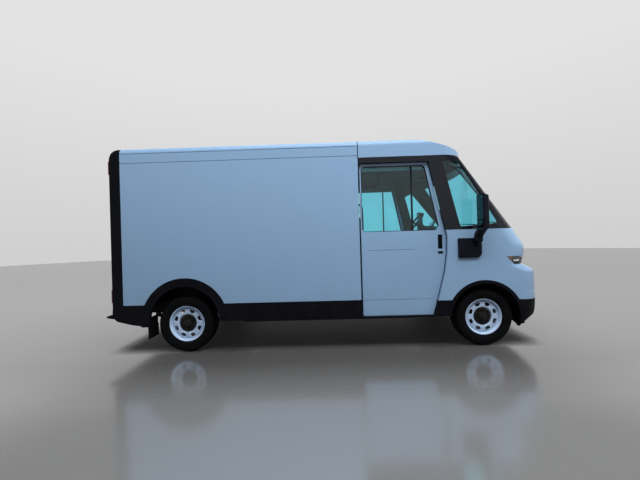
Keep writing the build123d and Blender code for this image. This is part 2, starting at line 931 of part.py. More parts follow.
with BuildPart() as wheelhouse_right:
    add(rear_house.part)
    add(front_house.part)
wheelhouses = both_sides(wheelhouse_right)
save(wheelhouses, "wheelhouses")

# ---- chassis: ladder frame, battery and drive unit as heavy blocks ----
rail_top = floor_z - floor_skin
rail_bottom = rail_top - frame_rail_height
front_rail_half = front_rail_y + 40
beam_x = front_axle + 690
jack_pad_length = 120
jack_pad_skin = 12
jack_pad_places = (rear_axle + 750, front_axle - 850)
with BuildPart() as chassis_frame:
    for side in (-1, 1):
        with Locations((box_rear, side * frame_rail_y, rail_bottom)):
            Box(
                front_axle - 600 - box_rear,
                frame_rail_width,
                frame_rail_height,
                align=(Align.MIN, Align.CENTER, Align.MIN),
            )
        with Locations((front_axle - 700, side * front_rail_y, rail_bottom)):
            Box(1400, 80, frame_rail_height, align=(Align.MIN, Align.CENTER, Align.MIN))
    for x in jack_pad_places:
        for side in (-1, 1):
            with Locations((x, side * frame_rail_y, rail_bottom)):
                Box(
                    jack_pad_length,
                    frame_rail_width,
                    jack_pad_skin,
                    align=(Align.CENTER, Align.CENTER, Align.MAX),
                )
    for x, depth in ((box_rear, 90), (rear_axle - 560, 80), (front_axle - 700, 100)):
        with Locations((x, 0, rail_bottom)):
            Box(depth, 2 * frame_rail_y, frame_rail_height, align=(Align.MIN, Align.CENTER, Align.MIN))
    with Locations((beam_x, 0, 440)):
        Box(50, 1100, 110, align=(Align.MIN, Align.CENTER, Align.MIN))
    with Locations((beam_x - 10, 0, rail_bottom)):
        Box(20, 2 * front_rail_half, 160, align=(Align.MIN, Align.CENTER, Align.MIN))
    # threaded socket for the screw-in towing eye
    with BuildSketch(Plane.YZ.offset(beam_x + 30)):
        with Locations((tow_y, tow_z)):
            Circle(tow_boss_radius)
    extrude(amount=tow_boss_length)
    with BuildSketch(Plane.YZ.offset(beam_x + 30 + tow_boss_length)):
        with Locations((tow_y, tow_z)):
            Circle(tow_bore_radius)
    extrude(amount=-tow_bore_length, mode=Mode.SUBTRACT)
save(chassis_frame, "chassis_frame")

battery_half = frame_rail_y - frame_rail_width / 2 - seat_gap
with BuildPart() as battery_pack:
    with Locations((rear_axle + 640, 0, battery_bottom)):
        Box(
            wheelbase - 640 - 760,
            2 * battery_half,
            battery_top - battery_bottom,
            align=(Align.MIN, Align.CENTER, Align.MIN),
        )
save(battery_pack, "battery_pack")

drive_half = front_rail_y - 40 - seat_gap
with BuildPart() as drive_unit:
    with Locations((front_axle, 0, 470)):
        Box(460, 2 * drive_half, 320)
save(drive_unit, "drive_unit")

# ---- wheels: drawn round the Y axis for the right side, then set on the four stub axles ----
wheel_places = {
    "front_right": (front_axle, -1),
    "front_left": (front_axle, 1),
    "rear_right": (rear_axle, -1),
    "rear_left": (rear_axle, 1),
}
tyre_half = tyre_width / 2

# section in the plane of radius (local x) and distance outwards (local y)
wheel_section = Plane(origin=(0, 0, 0), x_dir=(0, 0, 1), z_dir=(1, 0, 0))

with BuildPart() as tyre_blank:
    with BuildSketch(wheel_section):
        with BuildLine():
            Polyline(
                (barrel_radius + seat_gap, -rim_half_width + 9),
                (barrel_radius + seat_gap, rim_half_width - 9),
                (bead_radius + 10, rim_half_width - 8),
            )
            Spline(
                (bead_radius + 10, rim_half_width - 8),
                (300, tyre_half),
                (tyre_radius - 8, tyre_half - 22),
                tangents=[(0.3, 1), (1, -1)],
            )
            Line((tyre_radius - 8, tyre_half - 22), (tyre_radius, tyre_half - 34))
            Line((tyre_radius, tyre_half - 34), (tyre_radius, -tyre_half + 34))
            Line((tyre_radius, -tyre_half + 34), (tyre_radius - 8, -tyre_half + 22))
            Spline(
                (tyre_radius - 8, -tyre_half + 22),
                (300, -tyre_half),
                (bead_radius + 10, -rim_half_width + 8),
                tangents=[(-1, -1), (-0.3, 1)],
            )
            Line((bead_radius + 10, -rim_half_width + 8), (barrel_radius + seat_gap, -rim_half_width + 9))
        make_face()
    revolve(axis=Axis.Y)

with BuildPart() as rim_blank:
    # barrel with its two flanges
    with BuildSketch(wheel_section):
        with BuildLine():
            Polyline(
                (barrel_radius - barrel_skin, -rim_half_width),
                (bead_radius, -rim_half_width),
                (bead_radius, -rim_half_width + 8),
                (barrel_radius, -rim_half_width + 8),
                (barrel_radius, rim_half_width - 8),
                (bead_radius, rim_half_width - 8),
                (bead_radius, rim_half_width),
                (barrel_radius - barrel_skin, rim_half_width),
                close=True,
            )
        make_face()
    revolve(axis=Axis.Y)
    # dished disc and hub boss
    with BuildSketch(wheel_section):
        with BuildLine():
            Polyline(
                (0, hub_face),
                (hub_radius, hub_face),
                (hub_radius + 14, disc_face),
                (barrel_radius - 26, disc_face),
                (barrel_radius - barrel_skin + 1, disc_face - 10),
                (barrel_radius - barrel_skin + 1, disc_face - 10 - disc_skin),
                (barrel_radius - 28, disc_face - disc_skin),
                (hub_radius + 18, disc_face - disc_skin),
                (hub_radius + 4, hub_face - disc_skin),
                (hub_boss_radius, hub_face - disc_skin),
                (hub_boss_radius, hub_boss_end),
                (spindle_radius + running_gap, hub_boss_end),
                (spindle_radius + running_gap, spindle_end + 5),
                (0, spindle_end + 5),
                close=True,
            )
        make_face()
    revolve(axis=Axis.Y)
    with BuildSketch(Plane.XZ.offset(disc_face + 10)):
        with PolarLocations(hand_hole_circle, hand_holes, start_angle=22.5):
            SlotOverall(2 * hand_hole_radius + 10, 2 * hand_hole_radius, rotation=90)
    extrude(amount=-30, mode=Mode.SUBTRACT)
    # brake rotor
    with BuildSketch(wheel_section):
        with BuildLine():
            Polyline(
                (hub_boss_radius - 5, hub_boss_end),
                (rotor_radius, hub_boss_end),
                (rotor_radius, hub_boss_end + rotor_width),
                (hub_boss_radius - 5, hub_boss_end + rotor_width),
                close=True,
            )
        make_face()
    revolve(axis=Axis.Y)

for place, (x, side) in wheel_places.items():
    for blank, label in ((tyre_blank, "tyre"), (rim_blank, "rim")):
        with BuildPart() as fitted:
            if side < 0:
                add(Pos(x, -wheel_y, tyre_radius) * blank.part)
            else:
                mirror(Pos(x, -wheel_y, tyre_radius) * blank.part, about=Plane.XZ)
        save(fitted, f"{label}_{place}")

# ---- front knuckles: upright, kingpins and spindle, turned about an upright axis ----
kingpin_y = wheel_y - 62
upright_depth = 56
upright_half = 150
kingpin_radius = 14
kingpin_reach = 28
eye_height = 22
arm_width = 50
with BuildPart() as knuckle_right:
    with Locations((front_axle, -kingpin_y, tyre_radius)):
        Box(80, upright_depth, 2 * upright_half)
        Cylinder(kingpin_radius, 2 * (upright_half + kingpin_reach))
    with BuildSketch(Plane.XZ.offset(kingpin_y)):
        with Locations((front_axle, tyre_radius)):
            Circle(spindle_radius)
    extrude(amount=wheel_y + spindle_end - kingpin_y)
    with Locations((front_axle - 105, -kingpin_y, tyre_radius)):
        Box(90, upright_depth, 110)
    with Locations((front_axle - 50, -kingpin_y, tyre_radius)):
        Box(60, upright_depth, 70)
knuckle_left = symmetric(knuckle_right)
save(knuckle_right, "knuckle_right")
save(knuckle_left, "knuckle_left")

# ---- front suspension: wishbones, spring and damper, steering rack ----
lower_arm_z = tyre_radius - upright_half - kingpin_reach / 2
upper_arm_z = tyre_radius + upright_half + kingpin_reach / 2
spring_y = 500
with BuildPart() as front_suspension_right:
    for z in (lower_arm_z, upper_arm_z):
        with BuildSketch(Plane.XY.offset(z - eye_height / 2)):
            with Locations((front_axle, -kingpin_y)):
                Circle(32)
            with BuildLine():
                Polyline(
                    (front_axle - arm_width / 2, -kingpin_y),
                    (front_axle + arm_width / 2, -kingpin_y),
                    (front_axle + arm_width / 2, -610),
                    (front_axle + 170, -430),
                    (front_axle + 120, -430),
                    (front_axle, -540),
                    (front_axle - 120, -430),
                    (front_axle - 170, -430),
                    (front_axle - arm_width / 2, -610),
                    close=True,
                )
            make_face()
            with Locations((front_axle, -kingpin_y)):
                Circle(kingpin_radius + running_gap, mode=Mode.SUBTRACT)
        extrude(amount=eye_height)
    # pivots and their mounting tower on the frame rail
    for x in (-145, 145):
        with Locations((front_axle + x, -430, lower_arm_z)):
            Cylinder(22, 120, rotation=(0, 90, 0))
        with Locations((front_axle + x, -430, upper_arm_z)):
            Cylinder(22, 80, rotation=(0, 90, 0))
        with Locations((front_axle + x, -front_rail_half, lower_arm_z - 20)):
            Box(60, 60, upper_arm_z - lower_arm_z + 40, align=(Align.CENTER, Align.MAX, Align.MIN))
    # coil spring on its damper, from the lower wishbone to the top mount
    with Locations((front_axle, -spring_y - 60, lower_arm_z)):
        Cylinder(20, 60, align=(Align.CENTER, Align.CENTER, Align.MIN))
    with Locations((front_axle, -spring_y, lower_arm_z + 10)):
        Cylinder(48, 460, align=(Align.CENTER, Align.CENTER, Align.MIN))
    with Locations((front_axle, -spring_y, lower_arm_z + 465)):
        Box(160, 120, 20, align=(Align.CENTER, Align.CENTER, Align.MIN))
    with Locations((front_axle, -front_rail_half, rail_top)):
        Box(160, 150, 20, align=(Align.CENTER, Align.MAX, Align.MIN))
front_suspension = both_sides(front_suspension_right)
save(front_suspension, "front_suspension")

# ---- rear axle: beam, hubs, drums, leaf springs and dampers ----
beam_radius = 42
spring_offset = frame_rail_y
leaf_half = 560
leaf_width = 60
leaf_skin = 14
leaf_end_z = rail_bottom - 55
with BuildPart() as rear_axle_half:
    with BuildSketch(Plane.XZ):
        with Locations((rear_axle, tyre_radius)):
            Circle(beam_radius)
    extrude(amount=wheel_y - 95)
    with BuildSketch(Plane.XZ):
        with Locations((rear_axle, tyre_radius)):
            Circle(spindle_radius)
    extrude(amount=wheel_y + spindle_end)
    with BuildSketch(Plane.XZ.offset(wheel_y - 110)):
        with Locations((rear_axle, tyre_radius)):
            Circle(rotor_radius)
    extrude(amount=50)
    # leaf spring under the beam, curving up to its hangers on the frame rail
    with BuildSketch(Plane.XZ.offset(spring_offset - leaf_width / 2)):
        with BuildLine():
            ThreePointArc(
                (rear_axle - leaf_half, leaf_end_z),
                (rear_axle, tyre_radius - beam_radius - leaf_skin),
                (rear_axle + leaf_half, leaf_end_z),
            )
            Line((rear_axle + leaf_half, leaf_end_z), (rear_axle + leaf_half, leaf_end_z + leaf_skin))
            ThreePointArc(
                (rear_axle + leaf_half, leaf_end_z + leaf_skin),
                (rear_axle, tyre_radius - beam_radius),
                (rear_axle - leaf_half, leaf_end_z + leaf_skin),
            )
            Line((rear_axle - leaf_half, leaf_end_z + leaf_skin), (rear_axle - leaf_half, leaf_end_z))
        make_face()
    extrude(amount=leaf_width)
    for x in (rear_axle - leaf_half, rear_axle + leaf_half):
        with Locations((x, -spring_offset, rail_bottom)):
            Box(50, leaf_width, 60, align=(Align.CENTER, Align.CENTER, Align.MAX))
    # axle seat and its clamp plate
    with Locations((rear_axle, -spring_offset, tyre_radius - beam_radius - leaf_skin - 8)):
        Box(130, leaf_width + 30, beam_radius + leaf_skin + 8, align=(Align.CENTER, Align.CENTER, Align.MIN))
    # damper, from the clamp plate to the rail
    with Locations((rear_axle + 70, -spring_offset + 60, tyre_radius - 40)):
        Cylinder(24, rail_bottom + 60 - tyre_radius + 40, align=(Align.CENTER, Align.CENTER, Align.MIN))
    with Locations((rear_axle + 70, -spring_offset + 40, tyre_radius - 60)):
        Box(60, 70, 24, align=(Align.CENTER, Align.CENTER, Align.MIN))
rear_axle_pair = both_sides(rear_axle_half)
save(rear_axle_pair, "rear_axle")

# ---- mudflaps behind the rear wheels ----
flap_skin = 8
flap_low_z = 185
flap_height = 280
with BuildPart() as mudflap_right:
    with BuildSketch(Plane.YZ.offset(rear_axle - house_shell - seat_gap)):
        with Locations((-clad_y + 15, flap_low_z)):
            Rectangle(245, quarter_low[-1][1] - 5 - flap_low_z, align=(Align.MIN, Align.MIN))
        with Locations((-wall_inner_y + seat_gap, flap_low_z)):
            Rectangle(200, flap_height, align=(Align.MIN, Align.MIN))
    extrude(amount=-flap_skin)
mudflaps = both_sides(mudflap_right)
save(mudflaps, "mudflaps")

# ---- rear step bumper ----
step_half = 930
step_tip = -overall_length / 2
with BuildPart() as rear_step:
    with BuildSketch(Plane.XZ.offset(step_half)):
        with BuildLine():
            Polyline(
                (step_tip, step_plate_z),
                (step_tip, step_plate_z + 20),
                (step_tip + 40, step_plate_z + 30),
                (surround_rear + 60, step_plate_z + 30),
                (surround_rear + 60, step_plate_z - 16),
                (step_tip + 90, step_plate_z - 16),
                close=True,
            )
        make_face()
    extrude(amount=-2 * step_half)
    # valance up to the door sill, and the brackets to the frame
    with Locations((surround_rear + 20, 0, step_plate_z + 10)):
        Box(
            30,
            2 * step_half,
            surround_foot_z - step_plate_z - 10,
            align=(Align.MIN, Align.CENTER, Align.MIN),
        )
    for side in (-1, 1):
        with Locations((surround_rear + 40, side * frame_rail_y, rail_bottom)):
            Box(
                box_rear - surround_rear - 40,
                frame_rail_width,
                surround_foot_z - rail_bottom,
                align=(Align.MIN, Align.CENTER, Align.MIN),
            )
save(rear_step, "rear_step")

# ---- dashboard with the steering column ----
dash_half = 985
dash_rear = front_axle - 425
steering_angle = 40
steering_centre = (front_axle - 430, 430, 1690)
steering_radius = 205
steering_rim = 15
column_plane = Plane(
    origin=steering_centre,
    x_dir=(0, 1, 0),
    z_dir=(-cos(radians(steering_angle)), 0, sin(radians(steering_angle))),
)
with BuildPart() as dashboard:
    with BuildSketch(Plane.XZ.offset(dash_half)):
        with BuildLine():
            Polyline(
                (dash_rear, dash_bottom),
                (dash_rear - 10, 1180),
                (dash_rear + 40, 1400),
                (dash_rear + 110, 1490),
                (front_axle + 190, 1500),
                (front_axle + 190, 1000),
                (front_axle + 60, dash_bottom),
                close=True,
            )
        make_face()
    extrude(amount=-2 * dash_half)
    # instrument hood in front of the driver
    with BuildSketch(Plane.XZ.offset(-steering_centre[1] + 230)):
        with BuildLine():
            Polyline(
                (dash_rear + 60, 1440),
                (dash_rear + 110, 1610),
                (dash_rear + 260, 1600),
                (dash_rear + 420, 1500),
                close=True,
            )
        make_face()
    extrude(amount=-460)
    with BuildSketch(column_plane.offset(-60)):
        Circle(36)
    extrude(amount=-330)
save(dashboard, "dashboard")

# ---- steering wheel: rim, spokes and hub on the tilted column ----
with BuildPart() as steering_wheel:
    with BuildSketch(Plane(origin=steering_centre, x_dir=column_plane.z_dir, z_dir=(0, 1, 0))):
        with Locations((0, steering_radius)):
            Circle(steering_rim)
    revolve(axis=Axis(steering_centre, column_plane.z_dir))
    with BuildSketch(column_plane.offset(-30)):
        Circle(62)
    extrude(amount=34)
    with BuildSketch(column_plane.offset(-60 + running_gap)):
        Circle(24)
    extrude(amount=40)
    with BuildSketch(column_plane.offset(-14)):
        Rectangle(2 * steering_radius, 34)
        Rectangle(34, steering_radius, align=(Align.CENTER, Align.MIN))
    extrude(amount=14)
save(steering_wheel, "steering_wheel")

# ---- driver seat on its pedestal ----
seat_x = front_axle - 1180
seat_y = 430
seat_top = 1240
with BuildPart() as seat_pedestal:
    with Locations((seat_x, seat_y, floor_z)):
        Box(420, 380, 60, align=(Align.CENTER, Align.CENTER, Align.MIN))
        Box(300, 300, seat_top - 130 - floor_z, align=(Align.CENTER, Align.CENTER, Align.MIN))
    with Locations((seat_x, seat_y, seat_top - 150)):
        Box(460, 440, 20, align=(Align.CENTER, Align.CENTER, Align.MIN))
save(seat_pedestal, "seat_pedestal")
with BuildPart() as driver_seat:
    with BuildSketch(Plane.XZ.offset(-seat_y + 260)) as seat_side:
        with BuildLine():
            Polyline(
                (seat_x - 250, seat_top - 130),
                (seat_x + 270, seat_top - 130),
                (seat_x + 280, seat_top + 10),
                (seat_x - 130, seat_top - 20),
                (seat_x - 220, seat_top + 600),
                (seat_x - 330, seat_top + 580),
                (seat_x - 270, seat_top - 60),
                close=True,
            )
        make_face()
        fillet(seat_side.vertices(), 20)
    extrude(amount=-520)
    with BuildSketch(Plane.XZ.offset(-seat_y + 140)) as headrest_side:
        with BuildLine():
            Polyline(
                (seat_x - 320, seat_top + 560),
                (seat_x - 230, seat_top + 560),
                (seat_x - 240, seat_top + 780),
                (seat_x - 330, seat_top + 780),
                close=True,
            )
        make_face()
    extrude(amount=-280)
save(driver_seat, "driver_seat")

# ---- mirrors: a pad on the fender, and an arm with its head that folds about an upright pin ----
pad_skin = 22
pad_low_z = 1141
pad_top_z = 1394
pad_rear_x = front_axle - 333
pad_front_x = front_axle - 36
pin_x = front_axle - 100
pin_y = side_y + pad_skin + 48
pin_radius = 12
lug_top_z = 1340
lug_height = 44
lug_half = 32
arm_half = 42
head_inner_y = 1190
head_outer_y = 1370
head_low_z = 1478
head_top_z = 1928
head_rear_x = front_axle - 145
head_side = 34
head_dome = 20
head_rim = 8
mirror_recess = 4
head_width = head_outer_y - head_inner_y
head_height = head_top_z - head_low_z
head_y = -(head_inner_y + head_outer_y) / 2
head_z = (head_low_z + head_top_z) / 2
pin_height = 40
with BuildPart() as mirror_base_right:
    with BuildSketch(Plane.XZ.offset(side_y)) as pad:
        with BuildLine():
            Polyline(
                (pad_rear_x, pad_low_z),
                (pad_front_x - 40, pad_low_z),
                (pad_front_x, pad_low_z + 50),
                (pad_front_x, pad_top_z),
                (pad_rear_x, pad_top_z),
                close=True,
            )
        make_face()
        fillet(pad.vertices(), 14)
    extrude(amount=pad_skin)
    with Locations((pin_x, -side_y - pad_skin, lug_top_z)):
        Box(2 * lug_half, pin_y - side_y - pad_skin, lug_height, align=(Align.CENTER, Align.MAX, Align.MAX))
    with Locations((pin_x, -pin_y, lug_top_z)):
        Cylinder(lug_half, lug_height, align=(Align.CENTER, Align.CENTER, Align.MAX))
        Cylinder(pin_radius, pin_height, align=(Align.CENTER, Align.CENTER, Align.MIN))
mirror_bases = both_sides(mirror_base_right)
save(mirror_bases, "mirror_bases")

with BuildPart() as mirror_right:
    with Locations((pin_x, -pin_y, lug_top_z + running_gap)):
        Cylinder(arm_half, 52, align=(Align.CENTER, Align.CENTER, Align.MIN))
    # the arm rises outwards from the pin into the head
    with BuildSketch(Plane.YZ.offset(pin_x - arm_half)):
        with BuildLine():
            Polyline(
                (-pin_y, lug_top_z + running_gap),
                (-pin_y - arm_half, lug_top_z + running_gap),
                (-pin_y - arm_half - 10, lug_top_z + 60),
                (-head_outer_y + 60, head_low_z + 10),
                (-head_outer_y + 60, head_low_z + 60),
                (-head_inner_y - 10, head_low_z + 60),
                (-pin_y, lug_top_z + 100),
                close=True,
            )
        make_face()
    extrude(amount=2 * arm_half)
    with Locations((pin_x, -pin_y, lug_top_z)):
        Cylinder(
            pin_radius + running_gap,
            pin_height + 2,
            align=(Align.CENTER, Align.CENTER, Align.MIN),
            mode=Mode.SUBTRACT,
        )
    # head: its flat side, where the mirror sits in a rim, faces the rear
    with BuildSketch(Plane.YZ.offset(head_rear_x)) as head_back:
        with Locations((head_y, head_z)):
            RectangleRounded(head_width, head_height, 34)
    extrude(amount=head_side)
    extrude(Pos(head_side, 0, 0) * head_back.sketch, amount=head_dome, taper=30)
    with BuildSketch(Plane.YZ.offset(head_rear_x)):
        with Locations((head_y, head_z)):
            RectangleRounded(head_width - 2 * head_rim, head_height - 2 * head_rim, 28)
    extrude(amount=mirror_recess, mode=Mode.SUBTRACT)
mirror_left = symmetric(mirror_right)
save(mirror_right, "mirror_right")
save(mirror_left, "mirror_left")

# ---- charge inlet behind its flap on the left fender ----
flap_half = port_half - 9
flap_lid_skin = 12
flap_pin_x = port_x + flap_half - flap_lid_skin / 2
flap_pin_y = side_y - flap_lid_skin / 2
flap_pin_radius = 3
lug_skin = 6
socket_radius = 36
pin_hole_depth = 12
port_seat_y = wall_inner_y - seat_gap
with BuildPart() as charge_inlet:
    with Locations((port_x, port_seat_y, port_z)):
        Box(2 * port_half + 30, 30, 2 * port_half + 30, align=(Align.CENTER, Align.MAX, Align.CENTER))
    with BuildSketch(Plane.XZ.offset(-port_seat_y)):
        with Locations((port_x, port_z)):
            Circle(socket_radius + 12)
            Circle(socket_radius, mode=Mode.SUBTRACT)
    extrude(amount=-18)
    for side in (-1, 1):
        with Locations((flap_pin_x, port_seat_y, port_z + side * (flap_half + running_gap + lug_skin / 2))):
            Box(12, flap_pin_y - port_seat_y, lug_skin, align=(Align.CENTER, Align.MIN, Align.CENTER))
        with Locations((flap_pin_x, flap_pin_y, port_z + side * (flap_half + running_gap + lug_skin / 2))):
            Cylinder(6, lug_skin)
        with Locations((flap_pin_x, flap_pin_y, port_z + side * (flap_half - pin_hole_depth / 2 + 2))):
            Cylinder(flap_pin_radius, pin_hole_depth)
save(charge_inlet, "charge_inlet")

with BuildPart() as charge_flap:
    with Locations((port_x, flap_pin_y, port_z)):
        Box(2 * flap_half, flap_lid_skin, 2 * flap_half)
    for side in (-1, 1):
        with Locations((flap_pin_x, flap_pin_y, port_z + side * (flap_half - pin_hole_depth / 2 + 1))):
            Cylinder(flap_pin_radius + running_gap, pin_hole_depth, mode=Mode.SUBTRACT)
save(charge_flap, "charge_flap")
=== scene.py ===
from math import cos, pi, radians, sin, tau

import bmesh
import bpy
from mathutils import Matrix, Vector
from mathutils.bvhtree import BVHTree


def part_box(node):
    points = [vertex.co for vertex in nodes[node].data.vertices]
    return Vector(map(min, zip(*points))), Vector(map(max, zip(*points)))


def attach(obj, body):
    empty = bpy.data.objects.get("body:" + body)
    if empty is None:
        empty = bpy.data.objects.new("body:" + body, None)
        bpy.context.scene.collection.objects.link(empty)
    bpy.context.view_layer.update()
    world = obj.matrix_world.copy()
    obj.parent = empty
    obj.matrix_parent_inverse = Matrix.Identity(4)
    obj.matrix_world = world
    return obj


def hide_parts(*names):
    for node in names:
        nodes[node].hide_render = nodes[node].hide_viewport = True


# An electric walk-in cargo van, finished piece by piece in the order in which it is put together.
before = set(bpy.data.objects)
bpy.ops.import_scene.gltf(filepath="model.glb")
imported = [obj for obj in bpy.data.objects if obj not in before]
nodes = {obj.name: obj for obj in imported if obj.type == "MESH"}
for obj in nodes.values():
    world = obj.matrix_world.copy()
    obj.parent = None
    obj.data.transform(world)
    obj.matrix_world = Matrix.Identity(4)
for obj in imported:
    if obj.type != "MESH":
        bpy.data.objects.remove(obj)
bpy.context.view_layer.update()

# ---- Underbody: ladder frame, battery and drive unit ----
# The frame is welded steel dipped in black wax; the battery and the motor sit in bare cast aluminium
# cases with stiffening ribs, bolted up between the frame's rails. The cases are given a dark grey, not
# bare metal's, as painted shade for the deep shadow under the van.


def linear(red, green, blue):
    """A colour written as it looks, 0 to 255, as the shader needs it."""
    return tuple(
        (c / 255 / 12.92 if c < 11 else ((c / 255 + 0.055) / 1.055) ** 2.4) for c in (red, green, blue)
    )


class Value:
    """One shader value; arithmetic on it adds Math nodes to its finish."""

    def __init__(self, finish, socket):
        self.finish = finish
        self.socket = socket

    def math(self, operation, *values):
        return self.finish.node("Math", values, operation=operation)

    def __add__(self, other):
        return self.math("ADD", self, other)

    def __mul__(self, other):
        return self.math("MULTIPLY", self, other)

    __radd__, __rmul__ = __add__, __mul__


class Finish:
    """A material: its base colour, gloss and constants, and then whatever varies over the surface."""

    def __init__(self, name, colour, roughness, **constants):
        self.material = bpy.data.materials.new(name)
        self.material.use_nodes = True
        self.tree = self.material.node_tree
        self.shader = self.tree.nodes["Principled BSDF"]
        self.base = (*linear(*colour), 1)
        self.shader.inputs["Base Color"].default_value = self.base
        self.shader.inputs["Roughness"].default_value = roughness
        for socket, value in constants.items():
            self.shader.inputs[socket.replace("_", " ")].default_value = value
        self.here = self.node("TexCoord", {}, "Object")

    def node(self, kind, inputs, output=0, **settings):
        """Adds one node: its settings, then the values or links of its sockets."""
        made = self.tree.nodes.new("ShaderNode" + kind)
        for name, value in settings.items():
            setattr(made, name, value)
        for name, value in inputs.items() if isinstance(inputs, dict) else enumerate(inputs):
            if isinstance(value, Value):
                self.tree.links.new(value.socket, made.inputs[name])
            else:
                made.inputs[name].default_value = value
        return Value(self, made.outputs[output])

    def noise(self, scale, detail=2.0):
        """Cloudy pattern from 0 to 1, `scale` lumps to the metre."""
        return self.node("TexNoise", {"Vector": self.here, "Scale": scale, "Detail": detail}, "Fac")

    def cells(self, scale, output="Distance"):
        """Rounded grains, `scale` to the metre."""
        return self.node("TexVoronoi", {"Vector": self.here, "Scale": scale}, output)

    def waves(self, scale, along="X"):
        """Parallel ridges, `scale` to the metre, across one direction."""
        inputs = {"Vector": self.here, "Scale": scale * tau / 20}
        return self.node("TexWave", inputs, "Fac", bands_direction=along)

    def along(self, letter):
        """The place along X, Y or Z, in metres."""
        return self.node("SeparateXYZ", {"Vector": self.here}, letter)

    def fade(self, value, start, end):
        """0 before start and 1 after end."""
        return self.node("MapRange", {"Value": value, "From Min": start, "From Max": end})

    def tint(self, mask, colour):
        """Lays another colour over the base where the mask is 1."""
        self.base = self.node("Mix", {0: mask, 6: self.base, 7: (*linear(*colour), 1)}, 2, data_type="RGBA")
        self.tree.links.new(self.base.socket, self.shader.inputs["Base Color"])
        return self

    def gloss(self, roughness):
        """Lets the roughness vary."""
        self.tree.links.new(roughness.socket, self.shader.inputs["Roughness"])
        return self

    def relief(self, height, depth):
        """Small surface relief, `depth` metres from low to high."""
        bump = self.node("Bump", {"Height": height, "Distance": depth})
        self.tree.links.new(bump.socket, self.shader.inputs["Normal"])
        return self

    def stained(self, cloud, limits, strength, colour):
        """Cloudy stains of another colour; `cloud` is the noise's scale and detail."""
        return self.tint(self.fade(self.noise(*cloud), *limits) * strength, colour)

    def worn(self, cloud, spread, least):
        """Roughness that varies in patches, from the least upwards."""
        return self.gloss(self.noise(*cloud) * spread + least)

    def grained(self, cloud, depth):
        """Fine relief that runs in no direction."""
        return self.relief(self.noise(*cloud), depth)

    def on(self, *pieces):
        """Gives the finish to finished pieces, or to CAD pieces in place of their plain colour."""
        for piece in pieces:
            if piece.material_slots:
                for slot in piece.material_slots:
                    slot.material = self.material
            else:
                piece.data.materials.append(self.material)


chassis_wax = Finish("chassis_wax", (20, 20, 22), 0.6, Specular_IOR_Level=0.25)
chassis_wax.stained((9, 4), (0.5, 0.75), 0.4, (48, 44, 40)).worn((14, 3), 0.3, 0.4).grained((160, 3), 0.0006)
# Painted shade: the cases' dark grey stands in for the deep shadow under the van.
case_alloy = Finish("case_alloy", (46, 48, 51), 0.55, Metallic=0.4)
case_alloy.stained((6, 4), (0.4, 0.8), 0.4, (66, 64, 60)).worn((30, 3), 0.3, 0.35).grained((420, 2), 0.0004)
cast_steel = Finish("cast_steel", (46, 46, 48), 0.6, Metallic=0.5)
cast_steel.stained((25, 4), (0.5, 0.8), 0.5, (74, 54, 42)).worn((60, 3), 0.35, 0.4).grained((350, 3), 0.0006)
chassis_wax.on(nodes["chassis_frame"])
case_alloy.on(nodes["battery_pack"], nodes["drive_unit"])
cast_steel.on(nodes["front_suspension"], nodes["rear_axle"], nodes["knuckle_right"], nodes["knuckle_left"])


def leave_edit():
    """Object mode with nothing selected."""
    if bpy.context.mode != "OBJECT":
        bpy.ops.object.mode_set(mode="OBJECT")
    bpy.ops.object.select_all(action="DESELECT")


def active(piece):
    """Makes the piece the only one selected."""
    leave_edit()
    piece.select_set(True)
    bpy.context.view_layer.objects.active = piece


def all_of(piece):
    """Edit mode on the piece, with everything selected."""
    active(piece)
    bpy.ops.object.mode_set(mode="EDIT")
    bpy.ops.mesh.select_mode(type="VERT")
    bpy.ops.mesh.select_all(action="SELECT")


def block(name, low, high):
    """A rectangular block between two corners."""
    low, high = Vector(low), Vector(high)
    leave_edit()
    bpy.ops.mesh.primitive_cube_add(size=1, location=(low + high) / 2, scale=high - low)
    piece = bpy.context.active_object
    piece.name = name
    bpy.ops.object.transform_apply()
    return piece


def shaped(piece, kind, **settings):
    """Adds a modifier, sets it and applies it."""
    active(piece)
    modifier = piece.modifiers.new(kind.title(), kind)
    for name, value in settings.items():
        setattr(modifier, name, value)
    bpy.ops.object.modifier_apply(modifier=modifier.name)
    return piece


def bevelled(piece, width, segments, angle):
    """Rounds every edge sharper than the angle."""
    return shaped(
        piece, "BEVEL", width=width, segments=segments, limit_method="ANGLE", angle_limit=radians(angle)
    )


def softened(piece, width, segments=2, angle=30):
    """Rounds every edge sharper than the angle, and shades the rest smooth."""
    bevelled(piece, width, segments, angle)
    bpy.ops.object.shade_smooth_by_angle(angle=radians(40))
    return piece


def cut(piece, cutter):
    """Takes a cutter's shape out of a piece, and then takes the cutter away."""
    shaped(piece, "BOOLEAN", object=cutter, operation="DIFFERENCE", solver="EXACT")
    bpy.data.objects.remove(cutter)


def pick(piece, wanted):
    """Edit mode on the piece, with only the wanted faces selected."""
    all_of(piece)
    bpy.ops.mesh.select_mode(type="FACE")
    bpy.ops.mesh.select_all(action="DESELECT")
    mesh = bmesh.from_edit_mesh(piece.data)
    for face in mesh.faces:
        face.select_set(bool(wanted(face.calc_center_median(), face.normal)))
    mesh.select_flush_mode()
    bmesh.update_edit_mesh(piece.data)


def reworked(piece, side, *steps, squareness=0.9):
    """Insets, pulls or scales the faces on one side of a piece, such as "-x", step by step."""
    sign, axis = -1 if side[0] == "-" else 1, "xyz".index(side[1])
    pick(piece, lambda centre, normal: sign * normal[axis] > squareness)
    for kind, value in steps:
        if kind == "inset":
            bpy.ops.mesh.inset(thickness=value[0], depth=value[1])
        elif kind == "pull":
            bpy.ops.mesh.extrude_region_move(TRANSFORM_OT_translate={"value": value})
        else:
            bpy.ops.transform.resize(value=value)
    leave_edit()
    return piece


